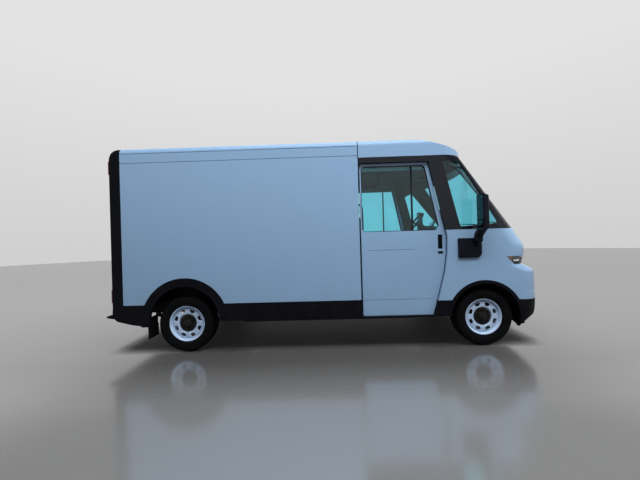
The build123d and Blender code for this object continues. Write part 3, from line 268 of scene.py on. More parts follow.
def drawn(name, points):
    """A line drawn point by point, by extruding one vertex. Left in edit mode, all selected."""
    leave_edit()
    bpy.ops.mesh.primitive_plane_add(size=0.01, location=points[0])
    piece = bpy.context.active_object
    piece.name = name
    bpy.ops.object.transform_apply()
    bpy.ops.object.mode_set(mode="EDIT")
    bpy.ops.mesh.select_mode(type="VERT")
    bpy.ops.mesh.select_all(action="SELECT")
    bpy.ops.mesh.merge(type="CENTER")
    for here, there in zip(points, points[1:]):
        step = Vector(there) - Vector(here)
        bpy.ops.mesh.extrude_region_move(TRANSFORM_OT_translate={"value": step})
    bpy.ops.mesh.select_all(action="SELECT")
    return piece


def tidied(piece):
    """Merges doubles and turns every face outwards."""
    all_of(piece)
    bpy.ops.mesh.remove_doubles(threshold=0.00005)
    bpy.ops.mesh.normals_make_consistent(inside=False)
    leave_edit()
    return piece


def panel(name, points, thickness):
    """A flat outline filled and pulled out along a vector."""
    piece = drawn(name, points)
    bpy.ops.mesh.edge_face_add()
    bpy.ops.mesh.extrude_region_move(TRANSFORM_OT_translate={"value": Vector(thickness)})
    return tidied(piece)


def turned(name, points, centre, axis, steps=64):
    """A closed profile spun right round an axis."""
    piece = drawn(name, [*points, points[0]])
    bpy.ops.mesh.spin(steps=steps, angle=tau, center=centre, axis=axis)
    tidied(piece)
    active(piece)
    bpy.ops.object.shade_smooth_by_angle(angle=radians(35))
    return piece


def round_piece(name, section, steps, x=0, y=0):
    """A piece turned about an upright line; its section is given as radius and height."""
    return turned(name, [(x + radius, y, z) for radius, z in section], (x, y, 0), (0, 0, 1), steps)


def pipe(name, points, radius, smooth=True):
    """A round bar or hose along a route, with closed ends."""
    leave_edit()
    bpy.ops.curve.primitive_nurbs_path_add()
    piece = bpy.context.active_object
    piece.name = name
    line = piece.data
    line.splines.clear()
    spline = line.splines.new("NURBS" if smooth else "POLY")
    spline.points.add(len(points) - 1)
    for point, place in zip(spline.points, points):
        point.co = (*place, 1)
    if smooth:
        spline.order_u = 3
        spline.use_endpoint_u = True
    spline.resolution_u = 6
    piece.location = (0, 0, 0)
    line.dimensions = "3D"
    line.bevel_depth = radius
    line.bevel_resolution = 3
    line.use_fill_caps = True
    bpy.ops.object.convert(target="MESH")
    active(piece)
    bpy.ops.object.shade_smooth_by_angle(angle=radians(50))
    return piece


def copied(piece, name):
    """A copy with its own mesh, in the same place."""
    active(piece)
    bpy.ops.object.duplicate()
    twin = bpy.context.active_object
    twin.name = name
    return twin


def spun_copy(piece, name, turn, centre, axis="Y"):
    """A copy turned about a line through `centre`."""
    twin = copied(piece, name)
    twin.data.transform(
        Matrix.Translation(centre) @ Matrix.Rotation(turn, 4, axis) @ Matrix.Translation(-Vector(centre))
    )
    return twin


def opposite(piece, name):
    """The same piece on the van's other side."""
    twin = copied(piece, name)
    bpy.ops.transform.resize(value=(1, -1, 1), center_override=(0, 0, 0))
    bpy.ops.object.transform_apply()
    all_of(twin)
    bpy.ops.mesh.flip_normals()
    leave_edit()
    return twin


def joined(name, pieces):
    """Several pieces made one object."""
    leave_edit()
    for piece in pieces:
        piece.select_set(True)
    bpy.context.view_layer.objects.active = pieces[0]
    if len(pieces) > 1:
        bpy.ops.object.join()
    pieces[0].name = name
    return pieces[0]


def fitted(piece, body, finish, stands_for=()):
    """Fixes a finished piece to its body, and gives it its finish."""
    leave_edit()
    finish.on(piece)
    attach(piece, body)
    if stands_for:
        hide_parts(*stands_for)


def on_both_sides(piece, body, finish, stands_for=()):
    """Fixes a right-hand piece and its mirror image, each to its own side's body."""
    names = [name.replace("right", "left") for name in (piece.name, body, *stands_for)]
    fitted(opposite(piece, names[0]), names[1], finish, names[2:])
    fitted(piece, body, finish, stands_for)


sides = (("right", -1), ("left", 1))
front_tyre, rear_tyre = (sum(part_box(f"tyre_{end}_right"), Vector()) / 2 for end in ("front", "rear"))
front_axle_x, rear_axle_x = front_tyre.x, rear_tyre.x

# ribs across the battery case, and its bolted rim
battery_low, battery_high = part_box("battery_pack")
rib_pitch, rib_width, rib_end = 0.155, 0.03, 0.05
rim_gap, rib_depth, rim_depth = 0.02, 0.008, 0.012
rib_top = battery_low.z + 0.01
ribs = []
for index in range(15):
    x = battery_low.x + 0.14 + index * rib_pitch
    low = (x, battery_low.y + rib_end, battery_low.z - rib_depth)
    ribs.append(block("rib", low, (x + rib_width, battery_high.y - rib_end, rib_top)))
for y in (battery_low.y, battery_high.y - rib_width):
    low = (battery_low.x + rim_gap, y, battery_low.z - rim_depth)
    ribs.append(block("rib", low, (battery_high.x - rim_gap, y + rib_width, rib_top)))
battery_ribs = softened(joined("battery_ribs", ribs), 0.004)
fitted(battery_ribs, "root", case_alloy)

# coil springs round the front dampers, and the rubber-booted shafts from the drive unit to the front hubs
hub_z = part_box("tyre_front_right")[1].z / 2
damper_y = 0.5
coils, steps_a_coil = 7, 10
coil_radius, coil_wire = 0.062, 0.0075
coil_low, coil_high = 0.235, 0.64
rubber = Finish("moulded_rubber", (15, 15, 17), 0.7, Specular_IOR_Level=0.2)
rubber.stained((12, 3), (0.45, 0.8), 0.45, (36, 35, 34)).worn((40, 2), 0.25, 0.55).grained((600, 2), 0.0003)
coil_turns = [step / steps_a_coil for step in range(steps_a_coil * coils + 1)]
spring_route = [
    (
        front_axle_x + coil_radius * cos(turn * tau), -damper_y + coil_radius * sin(turn * tau),
        coil_low + (coil_high - coil_low) * turn / coils,
    )
    for turn in coil_turns
]
spring = pipe("coil_spring_right", spring_route, coil_wire)
boot_section = [
    (0.28, 0.0), (0.28, 0.05), (0.31, 0.055), (0.325, 0.044), (0.34, 0.05), (0.352, 0.038), (0.366, 0.044),
    (0.38, 0.03), (0.41, 0.019), (0.62, 0.019), (0.64, 0.026), (0.65, 0.037), (0.662, 0.031), (0.674, 0.041),
    (0.686, 0.036), (0.698, 0.045), (0.722, 0.045), (0.722, 0.0),
]
boot = turned(
    "shaft_right", [(front_axle_x, -y, hub_z + radius) for y, radius in boot_section],
    (front_axle_x, 0, hub_z), (0, 1, 0), 40,
)
on_both_sides(spring, "root", cast_steel)
on_both_sides(boot, "root", rubber)

# ---- Wheels: white steel discs with eight hand holes, commercial tyres and black hub covers ----
# Each tyre is one vulcanised ring with five ribs; the disc is pressed sheet welded into a rolled rim
# and painted white, and six nuts hold it and a black plastic cover to the hub.
tyre_rubber = Finish("tyre_rubber", (8, 9, 11), 0.75, Specular_IOR_Level=0.12)
tyre_rubber.stained((14, 4), (0.45, 0.8), 0.4, (20, 20, 20)).worn((30, 3), 0.25, 0.55)
tyre_rubber.grained((500, 3), 0.0004)
# Painted shade: the discs' white paint is given the pale blue-grey it shows in blue sky shade.
wheel_paint = Finish("wheel_paint", (166, 188, 216), 0.32, Coat_Weight=0.4, Coat_Roughness=0.15)
wheel_paint.stained((11, 4), (0.5, 0.85), 0.35, (120, 126, 136)).worn((35, 3), 0.2, 0.25)
wheel_paint.grained((380, 2), 0.00015)
hub_black = Finish("hub_black", (20, 19, 19), 0.5, Specular_IOR_Level=0.25)
hub_black.stained((30, 3), (0.45, 0.8), 0.5, (52, 47, 42)).worn((60, 2), 0.2, 0.42).grained((700, 2), 0.0002)

wheel_centre = Vector((front_axle_x, front_tyre.y, hub_z))


def wheel_ring(name, section, steps):
    """A ring about the front right axle; its section is given as distance outboard and radius."""
    points = [(wheel_centre.x, wheel_centre.y - out, wheel_centre.z + radius) for out, radius in section]
    return turned(name, points, wheel_centre, (0, 1, 0), steps)


shoulder = [
    (0.086, 0.2165), (0.088, 0.232), (0.095, 0.2395), (0.104, 0.2535), (0.1085, 0.2600), (0.1105, 0.2612),
    (0.1105, 0.2645), (0.1115, 0.2660), (0.1155, 0.2800), (0.1173, 0.2980), (0.1170, 0.3150),
    (0.1145, 0.3300), (0.1155, 0.3315), (0.1140, 0.3400), (0.1115, 0.3410), (0.1060, 0.3510),
    (0.0985, 0.3590), (0.0890, 0.3645),
]
ribs_right = [
    (0.0610, 0.3665), (0.0590, 0.3590), (0.0530, 0.3590), (0.0510, 0.3672), (0.0250, 0.3680),
    (0.0230, 0.3600), (0.0170, 0.3600), (0.0150, 0.3680),
]
half = shoulder + ribs_right
tread_blocks = 160
tyre = wheel_ring(
    "tread_front_right", half + [(-out, radius) for out, radius in reversed(half)], tread_blocks
)


def on_shoulder(centre, normal):
    """One face in three round both shoulder ribs."""
    arm = centre - wheel_centre
    out = abs(arm.y)
    share = Vector((0, 1)).angle_signed(Vector((arm.x, arm.z))) / tau
    turn = round(share * tread_blocks - 0.5) % tread_blocks
    turn += 1 if arm.y > 0 else 0
    return 0.061 < out < 0.1 and arm.length > 0.355 and turn % 3 == 0


pick(tyre, on_shoulder)
bpy.ops.mesh.extrude_region_shrink_fatten(TRANSFORM_OT_shrink_fatten={"value": -0.006})
leave_edit()

rim = wheel_ring("wheel_disc_front_right", [
    (0.0955, 0.2270), (0.0965, 0.2310), (0.0935, 0.2345), (0.0880, 0.2325), (0.0855, 0.2160),
    (-0.0855, 0.2160), (-0.0880, 0.2325), (-0.0935, 0.2345), (-0.0960, 0.2290), (-0.0890, 0.2080),
    (0.0300, 0.2070), (0.0420, 0.2050), (0.0500, 0.1960), (0.0560, 0.1800), (0.0560, 0.1300),
    (0.0460, 0.1170), (0.0400, 0.1120), (0.0400, 0.0720), (0.0480, 0.0720), (0.0480, 0.1100),
    (0.0540, 0.1140), (0.0620, 0.1180), (0.0660, 0.1250), (0.0672, 0.1300), (0.0672, 0.1900),
    (0.0640, 0.1980), (0.0600, 0.2050), (0.0640, 0.2090), (0.0800, 0.2120), (0.0900, 0.2180),
], 96)
hand_hole_circle = 0.163
hole = block(
    "hole",
    wheel_centre + Vector((-0.028, -0.09, hand_hole_circle - 0.021)),
    wheel_centre + Vector((0.028, -0.03, hand_hole_circle + 0.022)),
)
reworked(hole, "+z", ("scale", (1.25, 1, 1)))
bevelled(hole, 0.016, 4, 60)
holes = [spun_copy(hole, "hole", (index + 0.5) * tau / 8, wheel_centre) for index in range(8)]
bpy.data.objects.remove(hole)
cut(rim, joined("cutter", holes))
softened(tidied(rim), 0.0018, 2, 50)

cover = wheel_ring("hub_cover_front_right", [
    (0.0485, 0.0), (0.0485, 0.1075), (0.0580, 0.1085), (0.0640, 0.1055), (0.0665, 0.0985), (0.0650, 0.0900),
    (0.0600, 0.0860), (0.0600, 0.0620), (0.0680, 0.0600), (0.0780, 0.0560), (0.0860, 0.0480),
    (0.0900, 0.0350), (0.0915, 0.0150), (0.0920, 0.0),
], 64)
nut_circle = 0.074
nut_place = wheel_centre + Vector((0, -0.07, nut_circle))
leave_edit()
bpy.ops.mesh.primitive_cylinder_add(
    vertices=6, radius=0.0135, depth=0.026, location=nut_place, rotation=(pi / 2, 0, 0)
)
nut = bpy.context.active_object
bpy.ops.object.transform_apply()
reworked(nut, "-y", ("inset", (0.003, 0.002)))
nuts = [nut] + [spun_copy(nut, "nut", index * tau / 6, wheel_centre) for index in range(1, 6)]
cover = joined("hub_cover_front_right", [cover, *nuts])

# brake disc and drum hat behind the wheel disc, turning with the wheel
disc = wheel_ring("brake_disc_front_right", [
    (0.0395, 0.042), (0.0395, 0.071), (-0.002, 0.078), (-0.008, 0.086), (-0.008, 0.150), (-0.017, 0.150),
    (-0.017, 0.147), (-0.021, 0.147), (-0.021, 0.150), (-0.030, 0.150), (-0.030, 0.042),
], 72)
bright_steel = Finish("bright_steel", (150, 152, 155), 0.3, Metallic=1.0)
bright_steel.stained((18, 4), (0.55, 0.8), 0.4, (112, 92, 78)).worn((90, 3), 0.25, 0.2)
bright_steel.grained((300, 2), 0.00015)
to_rear = (rear_axle_x - front_axle_x, 0, 0)
for front, slot, finish, stands in (
    (tyre, "tyre_rubber", tyre_rubber, "tyre"),
    (rim, "wheel_paint", wheel_paint, "rim"),
    (cover, "black_moulding", hub_black, ""),
    (disc, "cast_metal", bright_steel, ""),
):
    stem = front.name.replace("_front_right", "")
    rear = copied(front, f"{stem}_rear_right")
    bpy.ops.transform.translate(value=to_rear)
    bpy.ops.object.transform_apply()
    four = (front, rear, opposite(front, f"{stem}_front_left"), opposite(rear, f"{stem}_rear_left"))
    for piece in four:
        place = piece.name.replace(f"{stem}_", "")
        fitted(piece, f"wheel_{place}", finish, [f"{stands}_{place}"] if stands else ())

# ---- Floors, wheel boxes and inner lining ----
# Ribbed vinyl is glued over the plywood floors; the box is lined with pale composite board, the wheel
# boxes are moulded black, and the door pockets and rails are galvanised sheet.
floor_cover = Finish("floor_cover", (52, 53, 56), 0.6)
floor_cover.stained((5, 4), (0.5, 0.8), 0.4, (78, 75, 70)).worn((18, 3), 0.25, 0.45)
floor_cover.relief(floor_cover.waves(80, "Y"), 0.0012)
lining_board = Finish("lining_board", (176, 180, 182), 0.5)
lining_board.stained((3, 4), (0.5, 0.85), 0.3, (140, 140, 138)).worn((25, 3), 0.2, 0.4)
lining_board.grained((220, 2), 0.0003)
galvanised = Finish("galvanised", (150, 154, 158), 0.42, Metallic=0.85)
galvanised.tint(galvanised.cells(45, "Color") * 0.35, (112, 117, 122)).worn((40, 2), 0.25, 0.3)
galvanised.grained((260, 2), 0.0002)
black_moulding = Finish("black_moulding", (10, 11, 17), 0.55, Specular_IOR_Level=0.1)
low_down = black_moulding.fade(black_moulding.along("Z"), 1.0, 0.3)
scuffs = black_moulding.fade(black_moulding.noise(6, 4), 0.45, 0.75)
black_moulding.tint(low_down * scuffs * 0.3, (34, 33, 35))
black_moulding.worn((20, 3), 0.2, 0.45).relief(black_moulding.cells(650), 0.00035)
floor_cover.on(nodes["cargo_floor"], nodes["cab_floor"])
lining_board.on(nodes["bulkhead"])
galvanised.on(nodes["door_pockets"])
black_moulding.on(nodes["wheelhouses"])
rubber.on(nodes["mudflaps"])

# load rails along the box walls, and the lamp strips under its roof
cargo_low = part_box("cargo_floor")[0]
inner_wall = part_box("cargo_side_right")[0].y + 0.04
pocket_face = 0.958
rail_from = cargo_low.x + 0.16
pocket_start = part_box("door_pockets")[0].x
rails = []
profile = [
    (0, -0.018), (0, 0.018), (0.006, 0.018), (0.006, 0.008), (0.014, 0.008), (0.014, -0.008), (0.006, -0.008),
    (0.006, -0.018),
]
rail_heights = (1.05, 1.55, 2.05)
for start, wall, length in (
    (rail_from, inner_wall, pocket_start - 0.03 - rail_from), (pocket_start + 0.02, -pocket_face, 0.42),
):
    for z in rail_heights:
        rails.append(panel("rail", [(start, wall + y, z + up) for y, up in profile], (length, 0, 0)))
load_rails = softened(joined("load_rails_right", rails), 0.0012, 1)
on_both_sides(load_rails, "root", galvanised)
lamp_white = Finish("lamp_white", (226, 230, 232), 0.35)
lamp_white.tint(lamp_white.noise(20, 3) * 0.25, (190, 196, 202)).relief(lamp_white.waves(160), 0.0004)
strip_length, strip_half, strip_low, strip_high = 0.55, 0.03, 2.632, 2.65
strips = [
    block("strip", (x, y - strip_half, strip_low), (x + strip_length, y + strip_half, strip_high))
    for x in (-2.1, -1.2, -0.3) for y in (-0.35, 0.35)
]
box_lamps = softened(joined("box_lamps", strips), 0.006, 3)
fitted(box_lamps, "root", lamp_white)

# anti-slip treads on the two entry steps and across the doorway
well_low, well_high = 0.50, 1.36
step_z, floor_z = 0.45, 0.70
treads = []
for _, sign in sides:
    for row in range(6):
        y = sign * (0.754 + 0.04 * row)
        low = (well_low + 0.03, y - 0.009, step_z - 0.0005)
        high = (well_high - 0.03, y + 0.009, step_z + 0.0035)
        treads.append(block("tread", low, high))
    low = (well_low, sign * 0.675 - 0.025, floor_z - 0.0005)
    high = (well_high, sign * 0.675 + 0.025, floor_z + 0.005)
    treads.append(block("tread", low, high))
step_treads = softened(joined("step_treads", treads), 0.0015, 1)
grip_yellow = Finish("grip_edge", (196, 160, 52), 0.7)
grip_yellow.stained((9, 4), (0.4, 0.7), 0.7, (70, 66, 56)).worn((50, 2), 0.3, 0.5).grained((900, 2), 0.0005)
fitted(step_treads, "root", grip_yellow)

# ---- Painted body: cargo sides, roofs, nose and fenders ----
# The cargo walls are bonded composite sandwich and the cab's lower skins pressed steel, all in one white
# gloss paint under clear lacquer, coloured with painted shade: the pale blue-grey that white paint shows in
# the shade of a blue sky.
# Painted shade: the base colour is the white paint as it looks in blue sky shade.
body_paint = Finish("body_paint", (124, 156, 190), 0.36, Coat_Weight=0.5, Coat_Roughness=0.12)
body_paint.stained((0.9, 3), (0.35, 0.7), 0.3, (125, 156, 181))
low_down = body_paint.fade(body_paint.along("Z"), 1.1, 0.35)
body_paint.tint(low_down * body_paint.fade(body_paint.noise(5, 5), 0.4, 0.8) * 0.3, (112, 131, 155))
body_paint.worn((12, 3), 0.12, 0.3).grained((55, 2), 0.00018)
body_paint.on(nodes["cargo_roof"], nodes["cab_roof"], nodes["nose_panel"], nodes["charge_flap"])
for side, _ in sides:
    body_paint.on(*[nodes[f"{name}_{side}"] for name in ("cargo_side", "fender", "cab_door", "rear_door")])

# ---- Black skirts, bumper, rear hoop and wheel-arch lips ----
# Grained polypropylene mouldings, clipped to the body; the arch lips are a rolled edge of the same stuff.
black_moulding.on(*[nodes[name] for name in (
    "cladding_right", "cladding_left", "front_bumper", "rear_surround", "rear_step",
)])
side_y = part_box("cladding_right")[0].y
front_arch, rear_arch = 0.440, 0.461
rear_arch_z = 0.405


def arch_lip(name, x, z, radius, first, last):
    """A rolled lip round a wheel opening, between two angles from straight ahead."""
    turns = [first + (last - first) * step / 40 for step in range(41)]
    y = side_y + 0.004
    lip = pipe(name, [(x + radius * cos(turn), y, z + radius * sin(turn)) for turn in turns], 0.011)
    all_of(lip)
    bpy.ops.transform.resize(value=(1, 0.9, 1), center_override=(x, y, z))
    leave_edit()
    return lip


lip_gap = 0.006
front_lip = arch_lip(
    "arch_lip_front_right", front_axle_x, hub_z, front_arch + lip_gap, radians(-9), radians(176)
)
rear_lip = arch_lip(
    "arch_lip_rear_right", rear_axle_x, rear_arch_z, rear_arch + lip_gap, radians(0.5), radians(186)
)
for lip in (front_lip, rear_lip):
    on_both_sides(lip, "root", black_moulding)


def part_of(node, name, cuts=(), grow=0.0):
    """A merged copy of a CAD piece, less what lies beyond each cut, and grown outwards a little."""
    piece = bpy.data.objects.new(name, nodes[node].data.copy())
    bpy.context.scene.collection.objects.link(piece)
    active(piece)
    bpy.ops.mesh.customdata_custom_splitnormals_clear()
    all_of(piece)
    bpy.ops.mesh.remove_doubles(threshold=0.00002)
    bpy.ops.mesh.dissolve_limited(angle_limit=radians(0.5))
    for place, outwards in cuts:
        bpy.ops.mesh.select_all(action="SELECT")
        bpy.ops.mesh.bisect(plane_co=place, plane_no=outwards, use_fill=True, clear_outer=True)
    bpy.ops.mesh.select_all(action="SELECT")
    if grow:
        bpy.ops.transform.shrink_fatten(value=grow)
    leave_edit()
    return piece


def shell(mesh):
    """A mesh's surface, ready to be met by straight lines."""
    return BVHTree.FromPolygons(
        [vertex.co for vertex in mesh.vertices], [face.vertices for face in mesh.polygons]
    )


shells = {}
far_ahead = 3.4


def shell_at(node, start, direction):
    """Where a line first meets a CAD piece, and which way its surface faces there."""
    if node not in shells:
        shells[node] = shell(nodes[node].data)
    place, normal, _, _ = shells[node].ray_cast(Vector(start), Vector(direction).normalized())
    if place is None:
        raise ValueError(f"no {node} on the line from {start}")
    return place, normal


def traced(node, starts, direction, lift):
    """Points on a CAD piece met by lines from `starts`, lifted off its surface, or sunk where negative."""
    return [place + normal * lift for place, normal in (shell_at(node, start, direction) for start in starts)]


def placed(piece, place, facing, up=(0, 0, 1)):
    """Moves a piece modelled at the origin, facing up the Z axis, to a place and a direction."""
    facing = Vector(facing).normalized()
    right = Vector(up).cross(facing).normalized()
    turn = Matrix((right, facing.cross(right), facing)).transposed().to_4x4()
    piece.data.transform(Matrix.Translation(place) @ turn)
    return piece


roof_seam = part_of("cab_roof", "roof_seam_seal", [((0.4965, 0, 0), (1, 0, 0))], 0.0012)
fitted(roof_seam, "root", rubber)

# ---- Cab glazing, gloss black surround and wipers ----
# Laminated tinted panes bonded from outside to a gloss black moulding that runs round the cab from one
# door to the other; two wiper arms park along the foot of the windscreen.
glass = Finish("tinted_glass", (175, 241, 252), 0.0, Transmission_Weight=1.0, IOR=1.45)
glass.tint(glass.noise(1.5, 2) * 0.15, (168, 236, 250)).gloss(glass.fade(glass.noise(4, 3), 0.6, 0.9) * 0.02)
glass.on(nodes["cab_glass"], nodes["cab_door_glass_right"], nodes["cab_door_glass_left"])
gloss_black = Finish("gloss_black", (14, 17, 26), 0.24, Specular_IOR_Level=0.3)
gloss_black.stained((5, 4), (0.5, 0.85), 0.3, (30, 33, 40)).worn((18, 3), 0.14, 0.12)
gloss_black.grained((45, 2), 0.00012)
gloss_black.on(nodes["cab_surround"])

# A gloss black sheet just inside the glass, partly the panes' print band and partly painted shade: it darkens
# the top of the windscreen and the fore and rear parts of each quarter pane, where the dark cab shows
# through.
side_edge, print_and_shade_depth = 0.95, -0.0012
slant, slant_up = (1.588, 0, 2.196), Vector((0.078, 0, -0.16))
front_slant = ((1.748, 0, 2.274), (-0.531, 0, -0.41))
print_and_shade_sheets = []
for _, sign in sides:
    side_only = ((0, sign * side_edge, 0), (0, -sign, 0))
    print_and_shade_sheets.append(part_of("cab_glass", "print", [side_only, (slant, slant_up)], print_and_shade_depth))
    print_and_shade_sheets.append(part_of("cab_glass", "print", [side_only, front_slant, (slant, -slant_up)], print_and_shade_depth))
brow_only = [((0, sign * side_edge, 0), (0, sign, 0)) for _, sign in sides] + [((0, 0, 2.33), (0, 0, -1))]
print_and_shade_sheets.append(part_of("cab_glass", "print", brow_only, print_and_shade_depth))
fitted(joined("glass_print", print_and_shade_sheets), "root", gloss_black)

wiper_parts = []
for pivot_y, tip_y in ((-0.62, 0.02), (0.02, 0.66)):
    sweep = [(far_ahead, pivot_y + (tip_y - pivot_y) * step / 8, 1.588 + 0.006 * step) for step in range(9)]
    blade = traced("cab_glass", sweep, (-1, 0, 0), 0.009)
    carrier = [point + Vector((0.014, 0, 0.002)) for point in blade[1:8]]
    root_place, root_normal = shell_at("nose_panel", (far_ahead, pivot_y + 0.1, 1.47), (-1, 0, 0))
    elbow = root_place + root_normal * 0.03 + Vector((0.004, 0, 0.012))
    middle = (elbow + carrier[3]) / 2 + Vector((0.012, 0, 0))
    wiper_parts += [
        pipe("blade", blade, 0.0055, False),
        pipe("carrier", carrier, 0.0065, False),
        pipe("arm", [root_place, elbow, middle, carrier[3]], 0.0085),
    ]
    boss = round_piece("boss", [(0, -0.01), (0.021, -0.01), (0.021, 0.018), (0.015, 0.026), (0, 0.027)], 24)
    wiper_parts.append(placed(boss, root_place + root_normal * 0.004, root_normal))
fitted(joined("wipers", wiper_parts), "root", black_moulding)

# ---- Sliding cab doors ----
# A pressed and painted skin with a framed pane that a black bar divides, a black seal all round it, a
# recessed pull with a lock under it, and a thin trim board inside, so that the door still runs in its pocket.
door_outer, door_inner = 1.025, 0.983


def rounded(corners, radius, steps=6):
    """A closed outline with each corner rounded."""
    points = []
    for before, corner, after in zip(corners[-1:] + corners[:-1], corners, corners[1:] + corners[:1]):
        corner = Vector(corner)
        start = corner + (Vector(before) - corner).normalized() * radius
        end = corner + (Vector(after) - corner).normalized() * radius
        for step in range(steps + 1):
            share = step / steps
            points.append(start.lerp(corner, share).lerp(corner.lerp(end, share), share))
    return points


window = rounded([(0.528, 0, 1.507), (1.529, 0, 1.507), (1.353, 0, 2.357), (0.528, 0, 2.357)], 0.06)
seal_y, trim_y = -door_outer + 0.0078, -door_inner - 0.001
for name, y, radius in (("window_seal", seal_y, 0.0075), ("window_trim", trim_y, 0.006)):
    path = [(point.x, y, point.z) for point in window]
    seal = pipe(f"{name}_right", path + path[:2], radius, False)
    on_both_sides(seal, "cab_door_right", rubber)
bar_x, bar_half = 1.181, 0.012
divider = block("pane_divider_right", (bar_x - bar_half, -1.0195, 1.502), (bar_x + bar_half, -1.0, 2.362))
softened(divider, 0.003)
edge_seal = softened(block("door_edge_seal_right", (0.5135, -1.024, 0.43), (0.5185, -0.99, 2.38)), 0.0015)

pull_x, pull_z = 1.530, 1.358
bezel_half, bezel_reach = 0.0285, 0.0925
low = (pull_x - bezel_half, -1.0275, pull_z - bezel_reach)
bezel = block("bezel", low, (pull_x + bezel_half, -1.006, pull_z + bezel_reach))
bevelled(bezel, 0.022, 6, 30)
reworked(bezel, "-y", ("inset", (0.0055, 0)), ("pull", (0, 0.013, 0)), squareness=0.99)
grip = block("grip", (pull_x - 0.009, -1.0265, pull_z - 0.07), (pull_x + 0.009, -1.016, pull_z + 0.07))
pick(grip, lambda centre, normal: abs(normal.z) > 0.9)
bpy.ops.mesh.extrude_region_move(TRANSFORM_OT_translate={"value": (0, 0.008, 0)})
leave_edit()
softened(grip, 0.004, 3)
lock_z = 1.219
lock = block("lock", (pull_x - 0.031, -1.0285, lock_z - 0.015), (pull_x + 0.031, -1.024, lock_z + 0.015))
bevelled(lock, 0.012, 5, 30)
barrel_x = pull_x - 0.014
barrel_section = [
    (0, 1.0265), (0.0095, 1.0265), (0.0095, 1.0292), (0.007, 1.0298), (0.0028, 1.0298), (0.0028, 1.0285),
    (0, 1.0285),
]
barrel = turned(
    "barrel", [(barrel_x, -y, lock_z + radius) for radius, y in barrel_section],
    (barrel_x, 0, lock_z), (0, 1, 0), 24,
)
pull = joined("door_pull_right", [bezel, grip, lock, barrel])
boards = []
for rear, front_low, front_high, low, high, corner, thickness in (
    (0.56, 1.40, 1.52, 0.50, 1.46, 0.05, 0.0016), (0.60, 1.38, 1.45, 0.56, 1.06, 0.04, 0.0024),
    (0.60, 1.40, 1.46, 1.12, 1.41, 0.04, 0.0024),
):
    board = [(rear, low), (front_low, low), (front_high, high), (rear, high)]
    board = rounded([(x, -door_inner + 0.0002, z) for x, z in board], corner)
    boards.append(softened(panel("board", board, (0, thickness, 0)), 0.0006, 1))
trim_board = joined("door_trim_right", boards)
lining_vinyl = Finish("lining_vinyl", (58, 61, 66), 0.6)
lining_vinyl.stained((7, 4), (0.4, 0.8), 0.35, (78, 80, 82)).worn((24, 3), 0.2, 0.5)
lining_vinyl.relief(lining_vinyl.cells(520), 0.0004)
for piece, slot, finish in (
    (divider, "black_moulding", gloss_black), (edge_seal, "flap_rubber", rubber),
    (pull, "black_moulding", black_moulding), (trim_board, "lining", lining_vinyl),
):
    on_both_sides(piece, "cab_door_right", finish)

# ---- Door mirrors ----
# A black moulded housing with a flat glass over a small curved one, on an arm that folds on a pin; the
# pin's base is a flat black pad screwed to the fender.
# Painted reflection: the mirror glass is a dark silver, so that it shows a dark reflection, as of shaded
# surroundings.
mirror_silver = Finish("mirror_silver", (34, 40, 48), 0.03, Metallic=1.0)
mirror_silver.tint(mirror_silver.noise(6, 2) * 0.2, (28, 33, 40))
mirror_silver.gloss(mirror_silver.fade(mirror_silver.noise(9, 3), 0.6, 0.9) * 0.06 + 0.02)
mirror_black = Finish("mirror_black", (10, 14, 24), 0.45, Specular_IOR_Level=0.15)
mirror_black.stained((9, 4), (0.45, 0.8), 0.4, (20, 25, 36)).worn((28, 3), 0.2, 0.34)
mirror_black.relief(mirror_black.cells(700), 0.00025)
head_low, head_high = Vector((1.9235, -1.370, 1.478)), Vector((2.006, -1.190, 1.928))
head = block("mirror_head_right", head_low, head_high)
reworked(head, "+x", ("scale", (1, 0.8, 0.9)))
bevelled(head, 0.02, 5, 40)
glasses = []


def glass_outline(x, low, high, gap):
    """A mirror glass's four corners, inside its opening by a gap."""
    outer, inner = -1.357 + gap, -1.203 - gap
    return [(x, outer, low + gap), (x, inner, low + gap), (x, inner, high - gap), (x, outer, high - gap)]


for name, low, high in (("main", 1.622, 1.912), ("wide", 1.494, 1.604)):
    opening = glass_outline(1.92, low, high, 0)
    cut(head, panel("cutter", rounded(opening, 0.016, 4), (0.009, 0, 0)))
    pane = panel("pane", rounded(glass_outline(1.9262, low, high, 0.002), 0.015, 4), (0.004, 0, 0))
    if name == "wide":
        reworked(pane, "-x", ("inset", (0.008, 0.0014)), ("inset", (0.012, 0.001)))
    glasses.append(pane)
softened(tidied(head), 0.0012, 2, 50)
arm = block("arm", (1.920, -1.172, 1.344), (2.012, -1.104, 1.408))
reworked(arm, "+z", ("pull", (0.002, -0.035, 0.045)), ("scale", (1, 1.5, 1)))
reworked(arm, "+z", ("pull", (0.0, -0.075, 0.055)), ("scale", (0.92, 1.3, 1)))
softened(arm, 0.012, 4, 25)
pivot_x, pivot_y = 1.968, -1.14
knuckle = round_piece("knuckle", [
    (0, 1.3405), (0.024, 1.3405), (0.027, 1.345), (0.027, 1.405), (0.022, 1.428), (0.010, 1.436), (0, 1.436),
], 32, pivot_x, pivot_y)
mirror = joined("mirror_shell_right", [head, arm, knuckle])
pair = joined("mirror_glass_right", glasses)
on_both_sides(mirror, "mirror_right", mirror_black, ["mirror_right"])
on_both_sides(pair, "mirror_right", mirror_silver)
bases = softened(part_of("mirror_bases", "mirror_pads"), 0.004, 3, 40)
fitted(bases, "root", mirror_black, ["mirror_bases"])

# ---- Front lamps and nose details ----
# A gloss black band crosses the nose; at each end a clear moulded cover holds three lamp modules, a white
# light guide above them and an amber indicator round the corner. Round sensors are pushed into the bumper.


def ribbed_lens(name, colour, dark, roughness, least, ribs):
    """Moulded lens plastic with level ribs, so many to the metre."""
    lens = Finish(name, colour, roughness, Coat_Weight=0.6, Coat_Roughness=0.05)
    lens.tint(lens.waves(ribs, "Z") * 0.5, dark).worn((60, 2), 0.12, least)
    return lens.relief(lens.waves(ribs, "Z"), 0.0006)


